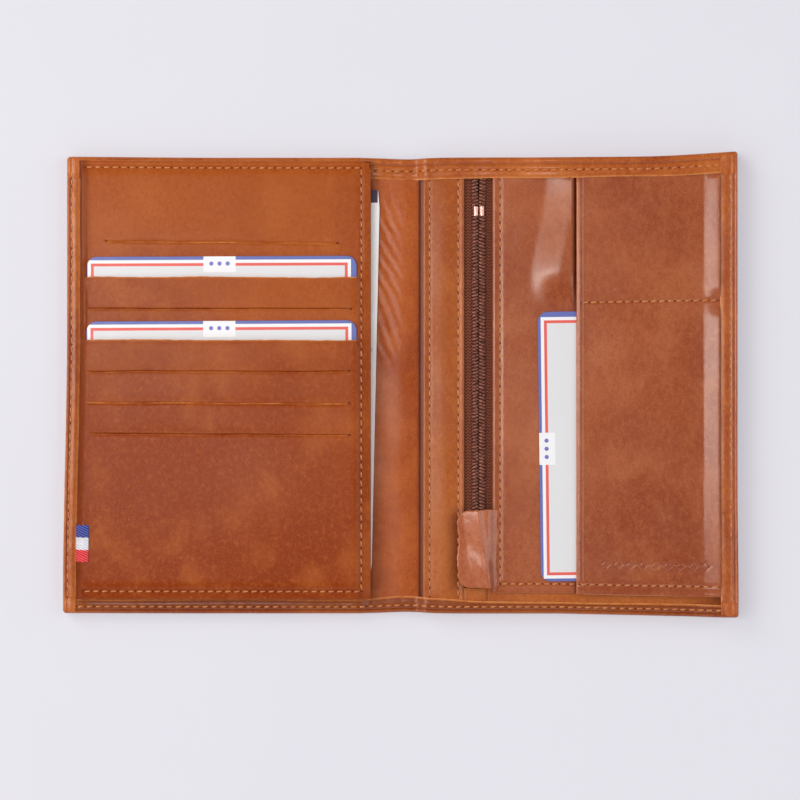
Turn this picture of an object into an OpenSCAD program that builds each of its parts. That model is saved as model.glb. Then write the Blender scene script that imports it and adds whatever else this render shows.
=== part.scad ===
// Travel document organizer: a two-sided leather wallet lying open, inside up.
// X runs across the open wallet, Y up its height and Z away from the table. Millimetres.
// The origin is the middle of the open wallet, on the table.

/* [Cover] */
// Width of the open cover, edge to edge
open_w = 213; // [211:0.5:217]
// Height of the cover
cover_h = 145; // [144.5:0.5:147]
// Thickness of the outer leather
cover_t = 1.2; // [1:0.05:1.3]
// Thickness of the leather lining
lining_t = 0.7; // [0.6:0.05:0.8]
// Distance between the two fold lines of the spine
spine_w = 11.5; // [11.5:0.1:12]
// Thickness of the turned edge, skived thin
hem_t = 0.7; // [0.6:0.05:0.75]
// Width of the turned edge at the left
hem_left_w = 4.2; // [3.8:0.1:4.4]
// Width of the turned edge at the right
hem_right_w = 5.6; // [5:0.1:6]
// Width of the turned edge along the top
hem_top_w = 6.6; // [6:0.1:6.8]
// Width of the turned edge along the bottom
hem_bottom_w = 4.6; // [4:0.1:4.8]
// Radius of the cover's outer corners
corner_r = 1.2; // [0.8:0.1:1.5]

/* [Card page] */
// Thickness of the page's front leather
page_t = 0.6; // [0.5:0.05:0.6]
// Thickness of the page's back leather
page_back_t = 0.5; // [0.4:0.05:0.5]
// Thickness of the fabric of each slot
fabric_t = 0.1; // [0.08:0.01:0.12]
// Distance of the page's free edge from the middle of the spine
page_edge_x = 9.9; // [9.5:0.1:10.5]
// Gap between the page's top edge and the cover's
page_top_gap = 1.2; // [1:0.1:1.5]
// Gap between the page's bottom edge and the cover's
page_bottom_gap = 4.6; // [4:0.1:5]
// Number of card slots
slots = 7; // [7:1:7]
// Height of the highest slit above the middle
slit_top_y = 45.6; // [45:0.1:46]
// Distance between the highest slit and the next
slit_first_pitch = 11.2; // [11:0.1:11.4]
// Distance between the other slits
slit_pitch = 9.96; // [9.9:0.02:10]
// Depth of the fabric behind each slit
slot_depth = 46; // [44:0.5:46.5]

/* [Inserts] */
// Width of a card
card_w = 85.6; // [85.6:0.1:85.8]
// Height of a card
card_h = 54; // [53.9:0.1:54]
// Thickness of a card
card_t = 0.4; // [0.3:0.05:0.4]
// Height of a card that shows above its slot
card_shown = 6.6; // [5:0.1:8]
// Width of the document
document_w = 88; // [86:0.5:88]
// Height of the document
document_h = 124; // [120:0.5:125]
// Thickness of the document
document_t = 0.6; // [0.4:0.05:0.6]
// Turn of the document in its pocket, in degrees
document_turn = 1.6; // [0:0.1:1.6]

/* [Right side] */
// Thickness of the leather panels on the right
panel_t = 0.7; // [0.6:0.05:0.7]
// Left edge of the strip beside the zip
strip_x = 6.7; // [6.7:0.1:7]
// Middle line of the zip
zip_x = 24.4; // [24:0.1:24.6]
// Width of the gap that shows the zip
window_w = 9; // [8.8:0.1:9.4]
// Left edge of the side pocket
pocket_x = 55.8; // [55:0.1:57]
// Height of the seam that divides the side pocket
divider_y = 26.7; // [26:0.1:28]
// Left edge of the side card
side_card_x = 44; // [43:0.1:46]
// Bottom edge of the side card
side_card_y = -62; // [-62:0.1:-60]

/* [Zip] */
// Width of one row of coil
coil_w = 1.75; // [1.6:0.05:1.8]
// Height of the coil
coil_t = 1; // [0.9:0.05:1]
// Thickness of the tape
tape_t = 0.4; // [0.3:0.05:0.4]
// Width of each tape
tape_w = 11.5; // [10:0.5:12]
// Length of the slider
slider_l = 8.4; // [8:0.1:8.6]
// Width of the slider
slider_w = 6.6; // [6.2:0.1:6.8]
// Length of the pull from its pivot to its tip
pull_l = 11; // [9:0.5:11]
// Height of the flap that covers the slider, along the zip
flap_h = 24.8; // [24:0.1:25]
// Width of the flap
flap_w = 13; // [12.5:0.1:13.2]

/* [Hidden] */
$fn = 48;

leather = "#a8572e";
leather_dark = "#8d4523";
thread_colour = "#c07a45";
fabric_colour = "#5a3a2a";
metal_colour = "#c98f7c";

skin_gap = 0.02;     // between layers that are glued or sewn together
loose_gap = 0.05;    // between a layer and an insert that slides
hinge_gap = 0.05;    // between parts that fold against each other
hem_relief = 0.85;   // the turned edge stops this far short of a fold line
thread_w = 0.5;
thread_d = 0.25;

// outline
half_w = open_w / 2;
half_h = cover_h / 2;
fold_x = spine_w / 2;
inner_x = half_w - hem_t - skin_gap;    // how far the layers reach under the turned edge
inner_y = half_h - hem_t - skin_gap;
hem_left_x = -half_w + hem_left_w;
hem_right_x = half_w - hem_right_w;
hem_top_y = half_h - hem_top_w;
hem_bottom_y = -half_h + hem_bottom_w;
seam_top_y = half_h - 4;
seam_bottom_y = -half_h + 2.2;
seam_left_x = -half_w + 1.6;
seam_right_x = half_w - 2.3;

// layers of the left side, from the table up
floor_z = cover_t + lining_t;
document_z = floor_z + loose_gap;
doc_pocket_t = 0.6;
doc_pocket_z = document_z + document_t + loose_gap;
doc_pocket_top = doc_pocket_z + doc_pocket_t;
doc_pocket_edge_x = -12;
hem_low_z = doc_pocket_top;             // turned edge over the document pocket
strip_hinge_t = 0.7;
hem_left_z = doc_pocket_top + strip_hinge_t;
page_z = hem_low_z + hem_t + 0.1;
page_back_top = page_z + page_back_t;
lining_1_z = page_back_top + skin_gap;
level_0_z = lining_1_z + fabric_t + skin_gap;
card_upper_z = level_0_z + page_t + loose_gap;
lining_3_z = card_upper_z + card_t + loose_gap;
level_1_z = lining_3_z + fabric_t + skin_gap;
card_lower_z = level_1_z + page_t + loose_gap;
lining_5_z = card_lower_z + card_t + loose_gap;
level_2_z = lining_5_z + 3 * (fabric_t + skin_gap);
page_top_z = level_2_z + page_t;

// plan of the card page
page_left_x = hem_left_x + hinge_gap + 0.05;
page_slope = 0.42;   // how far its left side leans in for each millimetre of height
page_thick_x = page_left_x + page_slope * (page_top_z - page_back_top);
page_right_x = -page_edge_x;
page_top_y = half_h - page_top_gap;
page_bottom_y = -half_h + page_bottom_gap;
card_left_x = -99.9;
card_right_x = card_left_x + card_w;
slot_left_x = card_left_x - 0.25;
slot_right_x = card_right_x + 0.25;
slit_gap = 0.3;
slit_hole_r = 0.4;   // punched hole that ends each slit
short_slit_left_x = -94.2;
short_slit_right_x = -20.2;
page_rim = 3.4;      // width of the sewn rim at the page's top and bottom
page_seam_x = page_right_x - 3;
page_seam_top_y = page_top_y - 2.2;
page_seam_bottom_y = page_bottom_y + 2.6;

// layers of the right side, from the table up
note_gap = 0.25;     // the banknote compartment, empty
pocket_back_z = floor_z + note_gap;
slider_plate_t = 0.5;
slider_low_z = pocket_back_z + fabric_t + 0.1;
tape_z = slider_low_z + slider_plate_t + loose_gap;
strip_z = tape_z + tape_t;
strip_top = strip_z + panel_t;
panel_top = strip_top + panel_t;
side_card_z = panel_top + loose_gap;
pocket_z = side_card_z + card_t + loose_gap;
pocket_top = pocket_z + panel_t;
coil_top = strip_z + coil_t;

// plan of the right side
window_left_x = zip_x - window_w / 2 - 0.1;
window_right_x = window_left_x + window_w;
window_bottom_y = -64.6;
strip_joint_x = 27;
panel_bottom_y = -66;
panel_seam_x = 31.2;
panel_seam_y = -63;
strip_seam_x = 8.8;
zip_seam_x = 17.9;
pocket_rim = 2.2;

// zip
coil_gap = 0.6;      // between the rows, where the slider's post runs
post_w = 0.4;
coil_bottom_y = -62.5;
zip_end_y = inner_y - 1.5;
coil_end_y = hem_top_y - 0.2;
stop_bottom_y = 53.8;
stop_h = 3.2;
slider_y = -57.9;
slider_top_z = coil_top + 0.1;
slider_deck = slider_top_z + slider_plate_t;
bail_w = 1.2;
bail_open = 0.9;     // half the bail's opening along the zip
bail_h = 1.15;
pull_t = 0.6;
pull_w = 3.4;
pull_y = slider_y - 0.1;
pull_z = slider_deck + pull_t / 2 + 0.1;
flap_y = -64.3;
flap_root_x = window_right_x + 1.9;
flap_low_z = slider_deck + bail_h + 0.1;

// ---------------------------------------------------------------- helpers

// a box from its low corner to its high corner
module box(low, high) {
    translate(low) cube(high - low);
}

// a flat strip of thread, its top face at z, sunk into the layer below it
module thread_bar(from, to, z, w = thread_w, d = thread_d) {
    low = [min(from[0], to[0]) - w / 2, min(from[1], to[1]) - w / 2, z - d];
    high = [max(from[0], to[0]) + w / 2, max(from[1], to[1]) + w / 2, z];
    box(low, high);
}

// the open wallet's outline with rounded corners, cut to a range of x
module outline_slab(x0, x1, z0, z1) {
    translate([0, 0, z0])
        linear_extrude(z1 - z0)
            intersection() {
                union() {
                    square([open_w - 2 * corner_r, cover_h], center = true);
                    square([open_w, cover_h - 2 * corner_r], center = true);
                    for (sx = [-1, 1], sy = [-1, 1])
                        translate([sx * (half_w - corner_r), sy * (half_h - corner_r)]) circle(corner_r);
                }
                translate([x0, -half_h]) square([x1 - x0, cover_h]);
            }
}

// a card with rounded corners, its low corner at the origin
module card(w, h, t, r = 3.2) {
    linear_extrude(t)
        union() {
            translate([r, 0]) square([w - 2 * r, h]);
            translate([0, r]) square([w, h - 2 * r]);
            for (x = [r, w - r], y = [r, h - r]) translate([x, y]) circle(r);
        }
}

// height of the slit of slot k, counted from 1 at the top
function slit_y(k) = k == 1 ? slit_top_y : slit_top_y - slit_first_pitch - (k - 2) * slit_pitch;

// ---------------------------------------------------------------- seams: thread, and the grooves it lies in

module seam_left_paths() {
    z_side = hem_left_z + hem_t;
    z_low = hem_low_z + hem_t;
    z_floor = floor_z + hem_t;
    fold_end_x = -fold_x - hem_relief - thread_w / 2;
    step_x = doc_pocket_edge_x + hem_t;
    thread_bar([seam_left_x, seam_bottom_y], [seam_left_x, seam_top_y], z_side);
    for (y = [seam_bottom_y, seam_top_y]) {
        thread_bar([hem_left_x + 0.5, y], [doc_pocket_edge_x - 0.3, y], z_low);
        thread_bar([step_x + 0.5, y], [fold_end_x, y], z_floor);
        thread_bar([seam_left_x, y], [-fold_x - 0.5, y], thread_d);
    }
    thread_bar([seam_left_x, seam_bottom_y], [seam_left_x, seam_top_y], thread_d);
}

module seam_spine_paths() {
    end_x = fold_x - hem_relief - thread_w / 2;
    for (y = [seam_bottom_y, seam_top_y]) {
        thread_bar([-end_x, y], [end_x, y], floor_z + hem_t);
        thread_bar([-fold_x + 0.5, y], [fold_x - 0.5, y], thread_d);
    }
}

module seam_right_paths() {
    z_side = pocket_top + hem_t;
    start_x = fold_x + hem_relief + 0.8;
    thread_bar([seam_right_x, seam_bottom_y], [seam_right_x, seam_top_y], z_side);
    thread_bar([start_x, seam_bottom_y], [hem_right_x - 0.6, seam_bottom_y], strip_top + hem_t);
    thread_bar([start_x, seam_top_y], [window_right_x - 1, seam_top_y], strip_top + hem_t);
    thread_bar([window_right_x + 1, seam_top_y], [pocket_x - 1, seam_top_y], panel_top + hem_t);
    thread_bar([pocket_x + 1, seam_top_y], [seam_right_x, seam_top_y], z_side);
    for (y = [seam_bottom_y, seam_top_y])
        thread_bar([fold_x + 0.5, y], [seam_right_x, y], thread_d);
    thread_bar([seam_right_x, seam_bottom_y], [seam_right_x, seam_top_y], thread_d);
}

module strip_seam_paths() {
    thread_bar([strip_seam_x, hem_bottom_y + 0.4], [strip_seam_x, hem_top_y - 0.4], strip_top);
    thread_bar([zip_seam_x, hem_bottom_y + 0.4], [zip_seam_x, hem_top_y - 0.4], strip_top);
}

module panel_seam_paths() {
    thread_bar([panel_seam_x, panel_seam_y], [panel_seam_x, hem_top_y - 0.4], panel_top);
    thread_bar([panel_seam_x, panel_seam_y], [pocket_x - 0.4, panel_seam_y], panel_top);
}

module pocket_seam_paths() {
    thread_bar([pocket_x + 0.5, panel_seam_y], [hem_right_x - 0.4, panel_seam_y], pocket_top);
    thread_bar([pocket_x + 1, divider_y], [hem_right_x - 0.6, divider_y], pocket_top);
}

module page_seam_paths() {
    thread_bar([page_thick_x, page_seam_top_y], [page_seam_x, page_seam_top_y], level_0_z + page_t);
    thread_bar([page_seam_x, slit_y(2) + 0.6], [page_seam_x, page_seam_top_y], level_0_z + page_t);
    thread_bar([page_seam_x, slit_y(4) + 0.6], [page_seam_x, slit_y(2) - 0.6], level_1_z + page_t);
    thread_bar([page_seam_x, page_seam_bottom_y], [page_seam_x, slit_y(4) - 0.6], page_top_z);
    thread_bar([page_thick_x + 0.4, page_seam_bottom_y], [page_seam_x, page_seam_bottom_y], page_top_z);
}

// ---------------------------------------------------------------- left cover

// outer leather of the left side, turned over the layers at its three free edges
module cover_left() {
    fold_end_x = -fold_x - hinge_gap;
    hem_end_x = -fold_x - hem_relief;
    step_x = doc_pocket_edge_x + hem_t;
    low_top = hem_low_z + hem_t;
    color(leather)
        difference() {
            union() {
                outline_slab(-half_w, fold_end_x, 0, cover_t);
                intersection() {
                    outline_slab(-half_w, fold_end_x, 0, hem_left_z + hem_t);
                    union() {
                        box([-half_w, -half_h, 0], [-inner_x - skin_gap, half_h, hem_left_z + hem_t]);
                        box([-half_w, -half_h, hem_left_z], [hem_left_x, half_h, hem_left_z + hem_t]);
                        for (side = [[half_h - hem_t, half_h, hem_top_y, half_h],
                                     [-half_h, -half_h + hem_t, -half_h, hem_bottom_y]]) {
                            box([-half_w, side[0], 0], [step_x, side[1], low_top]);
                            box([-half_w, side[2], hem_low_z], [step_x, side[3], low_top]);
                            box([step_x - hem_t + skin_gap, side[2], floor_z], [step_x, side[3], low_top]);
                            box([step_x, side[0], 0], [hem_end_x, side[1], floor_z + hem_t]);
                            box([step_x, side[2], floor_z], [hem_end_x, side[3], floor_z + hem_t]);
                        }
                    }
                }
            }
            seam_left_paths();
            // room for the side strip where it passes under the left edge
            box([-inner_x - skin_gap, hem_bottom_y, hem_low_z], [hem_left_x + 0.1, hem_top_y, hem_left_z]);
        }
}

// leather lining of the left side
module lining_left() {
    color(leather_dark)
        box([-inner_x, -inner_y, cover_t], [-fold_x - hinge_gap, inner_y, floor_z]);
}

// slip pocket for the document, open towards the spine
module document_pocket() {
    rim = 2.5;
    color(leather)
        difference() {
            box([-inner_x, -inner_y, floor_z], [doc_pocket_edge_x, inner_y, doc_pocket_top]);
            box([-inner_x + rim, -inner_y + rim, floor_z], [doc_pocket_edge_x, inner_y - rim, doc_pocket_z]);
        }
}

// strip of leather sewn under the left edge, from which the card page hangs
module page_hinge_strip() {
    color(leather)
        box([-inner_x, hem_bottom_y + skin_gap, doc_pocket_top],
            [hem_left_x - skin_gap, hem_top_y - skin_gap, hem_left_z]);
}

module cover_seam_left() {
    color(thread_colour) seam_left_paths();
}

// ---------------------------------------------------------------- spine

module cover_spine() {
    flat_x = fold_x - hinge_gap;
    hem_x = fold_x - hem_relief;
    color(leather)
        difference() {
            union() {
                box([-flat_x, -half_h, 0], [flat_x, half_h, cover_t]);
                for (side = [[half_h - hem_t, half_h, hem_top_y, half_h],
                             [-half_h, -half_h + hem_t, -half_h, hem_bottom_y]]) {
                    box([-flat_x, side[0], 0], [flat_x, side[1], floor_z]);
                    box([-hem_x, side[0], 0], [hem_x, side[1], floor_z + hem_t]);
                    box([-hem_x, side[2], floor_z], [hem_x, side[3], floor_z + hem_t]);
                }
            }
            seam_spine_paths();
        }
}

module lining_spine() {
    flat_x = fold_x - hinge_gap;
    color(leather_dark)
        box([-flat_x, -inner_y, cover_t], [flat_x, inner_y, floor_z]);
}

module cover_seam_spine() {
    color(thread_colour) seam_spine_paths();
}

// ---------------------------------------------------------------- right cover

// the turned edge along one side of the right cover, which climbs over a layer at each step in levels:
// [from x, to x, underside]
module stepped_hem(wall, band, levels) {
    for (l = levels) {
        box([l[0], wall[0], 0], [l[1], wall[1], l[2] + hem_t]);
        box([l[0], band[0], l[2]], [l[1], band[1], l[2] + hem_t]);
    }
    for (i = [1 : len(levels) - 1])
        box([levels[i][0] - hem_t, band[0], levels[i - 1][2]], [levels[i][0], band[1], levels[i][2] + hem_t]);
}

module cover_right() {
    start_x = fold_x + hem_relief;
    side_top = pocket_top + hem_t;
    top_levels = [
        [start_x, window_right_x, strip_top],
        [window_right_x, pocket_x, panel_top],
        [pocket_x, half_w, pocket_top]
    ];
    bottom_levels = [[start_x, hem_right_x, strip_top], [hem_right_x, half_w, pocket_top]];
    color(leather)
        difference() {
            intersection() {
                outline_slab(fold_x + hinge_gap, half_w, 0, side_top);
                union() {
                    box([fold_x + hinge_gap, -half_h, 0], [half_w, half_h, cover_t]);
                    box([inner_x + skin_gap, -half_h, 0], [half_w, half_h, side_top]);
                    box([hem_right_x, -half_h, pocket_top], [half_w, half_h, side_top]);
                    stepped_hem([half_h - hem_t, half_h], [hem_top_y, half_h], top_levels);
                    stepped_hem([-half_h, -half_h + hem_t], [-half_h, hem_bottom_y], bottom_levels);
                }
            }
            seam_right_paths();
        }
}

module lining_right() {
    color(leather_dark)
        box([fold_x + hinge_gap, -inner_y, cover_t], [inner_x, inner_y, floor_z]);
}

module cover_seam_right() {
    color(thread_colour) seam_right_paths();
}

// fabric back of the zip pocket, with its edge brought up to the leather in front
module zip_pocket_back() {
    low = [strip_x + 0.9, -inner_y, pocket_back_z];
    high = [inner_x, inner_y, strip_z];
    edge = 0.4;
    color(fabric_colour)
        difference() {
            box(low, high);
            box([low[0] + edge, low[1] + edge, low[2] + fabric_t], [high[0] - edge, high[1] - edge, high[2]]);
        }
}

// leather under the side panel, which carries the right tape of the zip
module zip_pocket_front() {
    color(leather_dark)
        union() {
            box([window_right_x, -inner_y, strip_z], [inner_x, inner_y, strip_top]);
            box([strip_joint_x + 0.1, -inner_y, strip_z], [window_right_x, window_bottom_y, strip_top]);
        }
}

// strip of leather to the left of the zip, with a foot that closes the end of the window
module zip_strip() {
    color(leather)
        difference() {
            union() {
                box([strip_x, -inner_y, strip_z], [window_left_x, inner_y, strip_top]);
                box([window_left_x, -inner_y, strip_z], [strip_joint_x, window_bottom_y, strip_top]);
            }
            strip_seam_paths();
        }
}

module zip_strip_seam() {
    color(thread_colour) strip_seam_paths();
}

// panel to the right of the zip, cut back where the flap is folded out of it
module side_panel() {
    color(leather)
        difference() {
            box([window_right_x, panel_bottom_y, strip_top], [inner_x, inner_y, panel_top]);
            box([window_right_x - 1, flap_y - 0.3, strip_top - 1],
                [flap_root_x + 0.1, flap_y + flap_h + 0.3, panel_top + 1]);
            box([window_right_x - 1, panel_bottom_y - 1, strip_top - 1],
                [flap_root_x + 0.1, flap_y + 1, panel_top + 1]);
            panel_seam_paths();
        }
}

module side_panel_seam() {
    color(thread_colour) panel_seam_paths();
}

// pocket for a card on end, open towards the spine, and divided by a seam
module side_pocket() {
    color(leather)
        difference() {
            box([pocket_x, panel_bottom_y - 0.2, panel_top], [inner_x, inner_y, pocket_top]);
            box([pocket_x - 1, side_card_y - 0.3, panel_top],
                [hem_right_x + 1.2, divider_y - 1, pocket_z]);
            box([pocket_x - 1, divider_y + 1, panel_top],
                [hem_right_x + 1.2, hem_top_y, pocket_z]);
            pocket_seam_paths();
        }
}

module side_pocket_seam() {
    color(thread_colour) pocket_seam_paths();
}

// ---------------------------------------------------------------- zip

// one tape; side is -1 for the left and 1 for the right
module zip_tape(side) {
    inner = coil_gap / 2;
    color(fabric_colour)
        translate([zip_x, 0, 0])
            scale_x(side) box([inner, window_bottom_y - 2.5, tape_z], [tape_w, zip_end_y, strip_z]);
}

// mirrors its child to the left when side is -1
module scale_x(side) {
    if (side < 0) mirror([1, 0, 0]) children();
    else children();
}

// profile of one row of coil, seen along the zip
module coil_profile() {
    r = coil_t / 2;
    union() {
        translate([r, 0]) square([coil_w - 2 * r, coil_t]);
        for (x = [r, coil_w - r]) translate([x, r]) circle(r);
        square([coil_w, r]);
    }
}

// one row of coil, in two lengths, below and above the bottom stop
module zip_coil(side) {
    color("#4a2a1e")
        translate([zip_x, 0, 0])
            scale_x(side)
                for (span = [[coil_bottom_y, stop_bottom_y - 0.1],
                             [stop_bottom_y + stop_h + 0.1, coil_end_y]])
                    translate([coil_gap / 2, span[1], strip_z])
                        rotate([90, 0, 0]) linear_extrude(span[1] - span[0]) coil_profile();
}

// metal clip across both rows, where the zip starts: two rounded lugs on a low web
module zip_bottom_stop() {
    lug_w = 2;
    lug_h = 1.25;
    color(metal_colour)
        translate([zip_x, stop_bottom_y, strip_z])
            union() {
                for (side = [-1, 1])
                    scale_x(side)
                        translate([0.2, stop_h, 0])
                            rotate([90, 0, 0])
                                linear_extrude(stop_h)
                                    union() {
                                        square([lug_w, lug_h - lug_w / 4]);
                                        translate([lug_w / 4, lug_h - lug_w / 2])
                                            square([lug_w / 2, lug_w / 2]);
                                        for (x = [lug_w / 4, lug_w * 3 / 4])
                                            translate([x, lug_h - lug_w / 4]) circle(lug_w / 4);
                                    }
                box([-0.2, 0, 0], [0.2, stop_h, 0.6]);
            }
}

// two small clips at the end of the rows, where the closed slider stops
module zip_top_stops() {
    color(metal_colour)
        for (side = [-1, 1])
            translate([zip_x, coil_bottom_y - 1.8, strip_z])
                scale_x(side) box([coil_gap / 2, 0, 0], [coil_gap / 2 + coil_w, 1.6, coil_t - 0.1]);
}

// outline of the slider's plates: wide shoulders at the top, narrower at the tail
module slider_plate(t) {
    w = slider_w / 2;
    l = slider_l / 2;
    linear_extrude(t)
        polygon([[-w * 0.78, -l], [w * 0.78, -l], [w, -l * 0.6], [w, l * 0.45], [w * 0.55, l],
                 [-w * 0.55, l], [-w, l * 0.45], [-w, -l * 0.6]]);
}

// slider: two plates joined by a post between the rows, with flanges down the sides
module zip_slider() {
    flange = 0.55;
    color(metal_colour)
        translate([zip_x, slider_y, 0])
            union() {
                translate([0, 0, slider_low_z]) slider_plate(slider_plate_t);
                translate([0, 0, slider_top_z]) slider_plate(slider_plate_t);
                for (side = [-1, 1])
                    scale_x(side)
                        box([slider_w / 2 - flange, -slider_l * 0.3, strip_z + 0.15],
                            [slider_w / 2, slider_l * 0.22, slider_top_z]);
                box([-post_w / 2, slider_l * 0.18, slider_low_z],
                    [post_w / 2, slider_l * 0.42, slider_top_z]);
            }
}

// bail: a bridge on the slider that holds the pull
module zip_slider_bail() {
    foot = 1;
    color(metal_colour)
        translate([zip_x - bail_w / 2, pull_y, slider_deck])
            difference() {
                translate([0, -bail_open - foot, 0]) cube([bail_w, 2 * (bail_open + foot), bail_h]);
                translate([-1, -bail_open, -1]) cube([bail_w + 2, 2 * bail_open, bail_h + 0.75]);
            }
}

// pull: a pin through the bail, two arms and a flat tab
module zip_pull() {
    arm_w = 0.7;
    tab_start = 2.4;
    pin_r = pull_t / 2;
    color(metal_colour)
        translate([zip_x, pull_y, pull_z])
            difference() {
                union() {
                    rotate([0, 90, 0]) cylinder(r = pin_r, h = pull_w, center = true);
                    for (side = [-1, 1])
                        scale_x(side)
                            box([pull_w / 2 - arm_w, 0, -pin_r], [pull_w / 2, tab_start + 1, pin_r]);
                    translate([-pull_w / 2, tab_start, -pin_r])
                        cube([pull_w, pull_l - tab_start - pull_w / 2, pull_t]);
                    translate([0, pull_l - pull_w / 2, -pin_r]) cylinder(d = pull_w, h = pull_t);
                }
                translate([0, pull_l - pull_w / 2, -1]) cylinder(d = 1.4, h = 2);
            }
}

// leather flap folded out of the side panel, arched over the closed slider
module zip_garage_flap() {
    over = [flap_root_x - 3.1, flap_low_z];
    low_edge = flap_low_z - 0.7;
    t = panel_t;
    far_x = flap_root_x - flap_w;
    color(leather)
        translate([0, flap_y + flap_h, 0])
            rotate([90, 0, 0])
                linear_extrude(flap_h)
                    polygon([
                        [flap_root_x, strip_top], [flap_root_x - 1, strip_top + 0.05],
                        [flap_root_x - 2, strip_top + 0.9], [over[0], over[1]],
                        [far_x + 3, flap_low_z], [far_x, low_edge],
                        [far_x, low_edge + t], [far_x + 3, flap_low_z + t],
                        [over[0], over[1] + t], [flap_root_x - 1.6, strip_top + 1.45],
                        [flap_root_x - 0.7, strip_top + t], [flap_root_x, strip_top + t]
                    ]);
}

// ---------------------------------------------------------------- card page

module page_back() {
    color(leather_dark)
        box([page_left_x, page_bottom_y, page_z], [page_right_x, page_top_y, page_back_top]);
}

// one band of the page's front, from y0 up to y1, sloping down to the fold at its left
module page_band(y0, y1, top_z) {
    lean = page_slope * (top_z - page_back_top);
    translate([0, y1, 0])
        rotate([90, 0, 0])
            linear_extrude(y1 - y0)
                polygon([[page_left_x, page_back_top], [page_right_x, page_back_top],
                         [page_right_x, top_z], [page_left_x + lean, top_z]]);
}

// front of the page: one sheet of leather that steps forward over each card in use, slit for the others
module page_front() {
    bands = [
        [slit_y(2), page_top_y, level_0_z],
        [slit_y(4), slit_y(2), level_1_z],
        [page_bottom_y, slit_y(4), level_2_z]
    ];
    // the empty slits: [slot, level it lies in, left end, right end]
    empty = [
        [1, 0, short_slit_left_x, short_slit_right_x],
        [3, 1, slot_left_x, slot_right_x],
        [5, 2, slot_left_x, slot_right_x],
        [6, 2, slot_left_x, slot_right_x],
        [7, 2, slot_left_x, slot_right_x]
    ];
    color(leather)
        difference() {
            union() {
                for (b = bands) page_band(b[0], b[1], b[2] + page_t);
            }
            // the hollow behind each band, closed at the sides, the top and the bottom
            box([slot_left_x, slit_y(2), page_back_top - 1],
                [slot_right_x, page_top_y - page_rim, level_0_z]);
            box([slot_left_x, slit_y(4), page_back_top - 1], [slot_right_x, slit_y(2) + 1, level_0_z]);
            box([slot_left_x, slit_y(4), level_0_z - 0.01], [slot_right_x, slit_y(2), level_1_z]);
            box([slot_left_x, page_bottom_y + page_rim, page_back_top - 1],
                [slot_right_x, slit_y(4) + 1, level_1_z]);
            box([slot_left_x, page_bottom_y + page_rim, level_1_z - 0.01],
                [slot_right_x, slit_y(4), level_2_z]);
            for (e = empty) {
                box([e[2] + 0.5, slit_y(e[0]) - slit_gap / 2, bands[e[1]][2] - 0.5],
                    [e[3] - 0.5, slit_y(e[0]) + slit_gap / 2, bands[e[1]][2] + page_t + 0.5]);
                for (x = [e[2] + 0.5, e[3] - 0.5])
                    translate([x, slit_y(e[0]), bands[e[1]][2] - 0.5])
                        cylinder(r = slit_hole_r, h = page_t + 1, $fn = 24);
            }
            page_seam_paths();
        }
}

// fabric of slot k: a sheet behind the slit, as deep as a card
module slot_lining(k) {
    heights = [
        lining_1_z, level_0_z, lining_3_z, level_1_z,
        lining_5_z, lining_5_z + fabric_t + skin_gap, lining_5_z + 2 * (fabric_t + skin_gap)
    ];
    y = slit_y(k) - 0.3;
    low_y = max(y - slot_depth, page_bottom_y + page_rim + 0.1);
    color(fabric_colour)
        box([slot_left_x + 0.05, low_y, heights[k - 1]],
            [slot_right_x - 0.05, y, heights[k - 1] + fabric_t]);
}

module page_seam() {
    color(thread_colour) page_seam_paths();
}

// woven tag with three bands, laid over the page's sloping left side
module woven_tag() {
    colours = ["#c8202c", "#e8e8ea", "#27409a"];
    band_h = 3.9;
    t = 0.2;
    foot_z = page_back_top + 0.9;
    foot_x = page_left_x + page_slope * 0.9 - skin_gap;
    top_z = page_top_z + skin_gap;
    end_x = page_thick_x + 2;
    for (i = [0 : 2])
        color(colours[i])
            translate([0, -56 + (i + 1) * band_h, 0])
                rotate([90, 0, 0])
                    linear_extrude(band_h)
                        polygon([[foot_x, foot_z], [page_thick_x - skin_gap, top_z], [end_x, top_z],
                                 [end_x, top_z + t], [page_thick_x - t, top_z + t], [foot_x - t, foot_z]]);
}

// ---------------------------------------------------------------- inserts

module card_upper() {
    color("#f4f4f2")
        translate([card_left_x, slit_y(2) + card_shown - card_h, card_upper_z]) card(card_w, card_h, card_t);
}

module card_lower() {
    color("#f4f4f2")
        translate([card_left_x, slit_y(4) + card_shown - 0.6 - card_h, card_lower_z])
            card(card_w, card_h, card_t);
}

module side_card() {
    color("#f4f4f2")
        translate([side_card_x, side_card_y, side_card_z]) card(card_h, card_w, card_t);
}

module document() {
    centre_x = -52.4;
    centre_y = -0.6;
    color("#ededeb")
        translate([centre_x, centre_y, document_z])
            rotate([0, 0, -document_turn])
                translate([-document_w / 2, -document_h / 2, 0])
                    cube([document_w, document_h, document_t]);
}

// ---------------------------------------------------------------- nodes

cover_left();
lining_left();
document_pocket();
page_hinge_strip();
cover_seam_left();
cover_spine();
lining_spine();
cover_seam_spine();
cover_right();
lining_right();
cover_seam_right();
zip_pocket_back();
zip_pocket_front();
zip_strip();
zip_strip_seam();
side_panel();
side_panel_seam();
side_pocket();
side_pocket_seam();
zip_tape(-1);  // zip_tape_left
zip_tape(1);  // zip_tape_right
zip_coil(-1);  // zip_coil_left
zip_coil(1);  // zip_coil_right
zip_bottom_stop();
zip_top_stops();
zip_garage_flap();
zip_slider();
zip_slider_bail();
zip_pull();
page_back();
page_front();
slot_lining(1);  // slot_lining_1
slot_lining(2);  // slot_lining_2
slot_lining(3);  // slot_lining_3
slot_lining(4);  // slot_lining_4
slot_lining(5);  // slot_lining_5
slot_lining(6);  // slot_lining_6
slot_lining(7);  // slot_lining_7
page_seam();
woven_tag();
card_upper();
card_lower();
side_card();
document();
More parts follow.
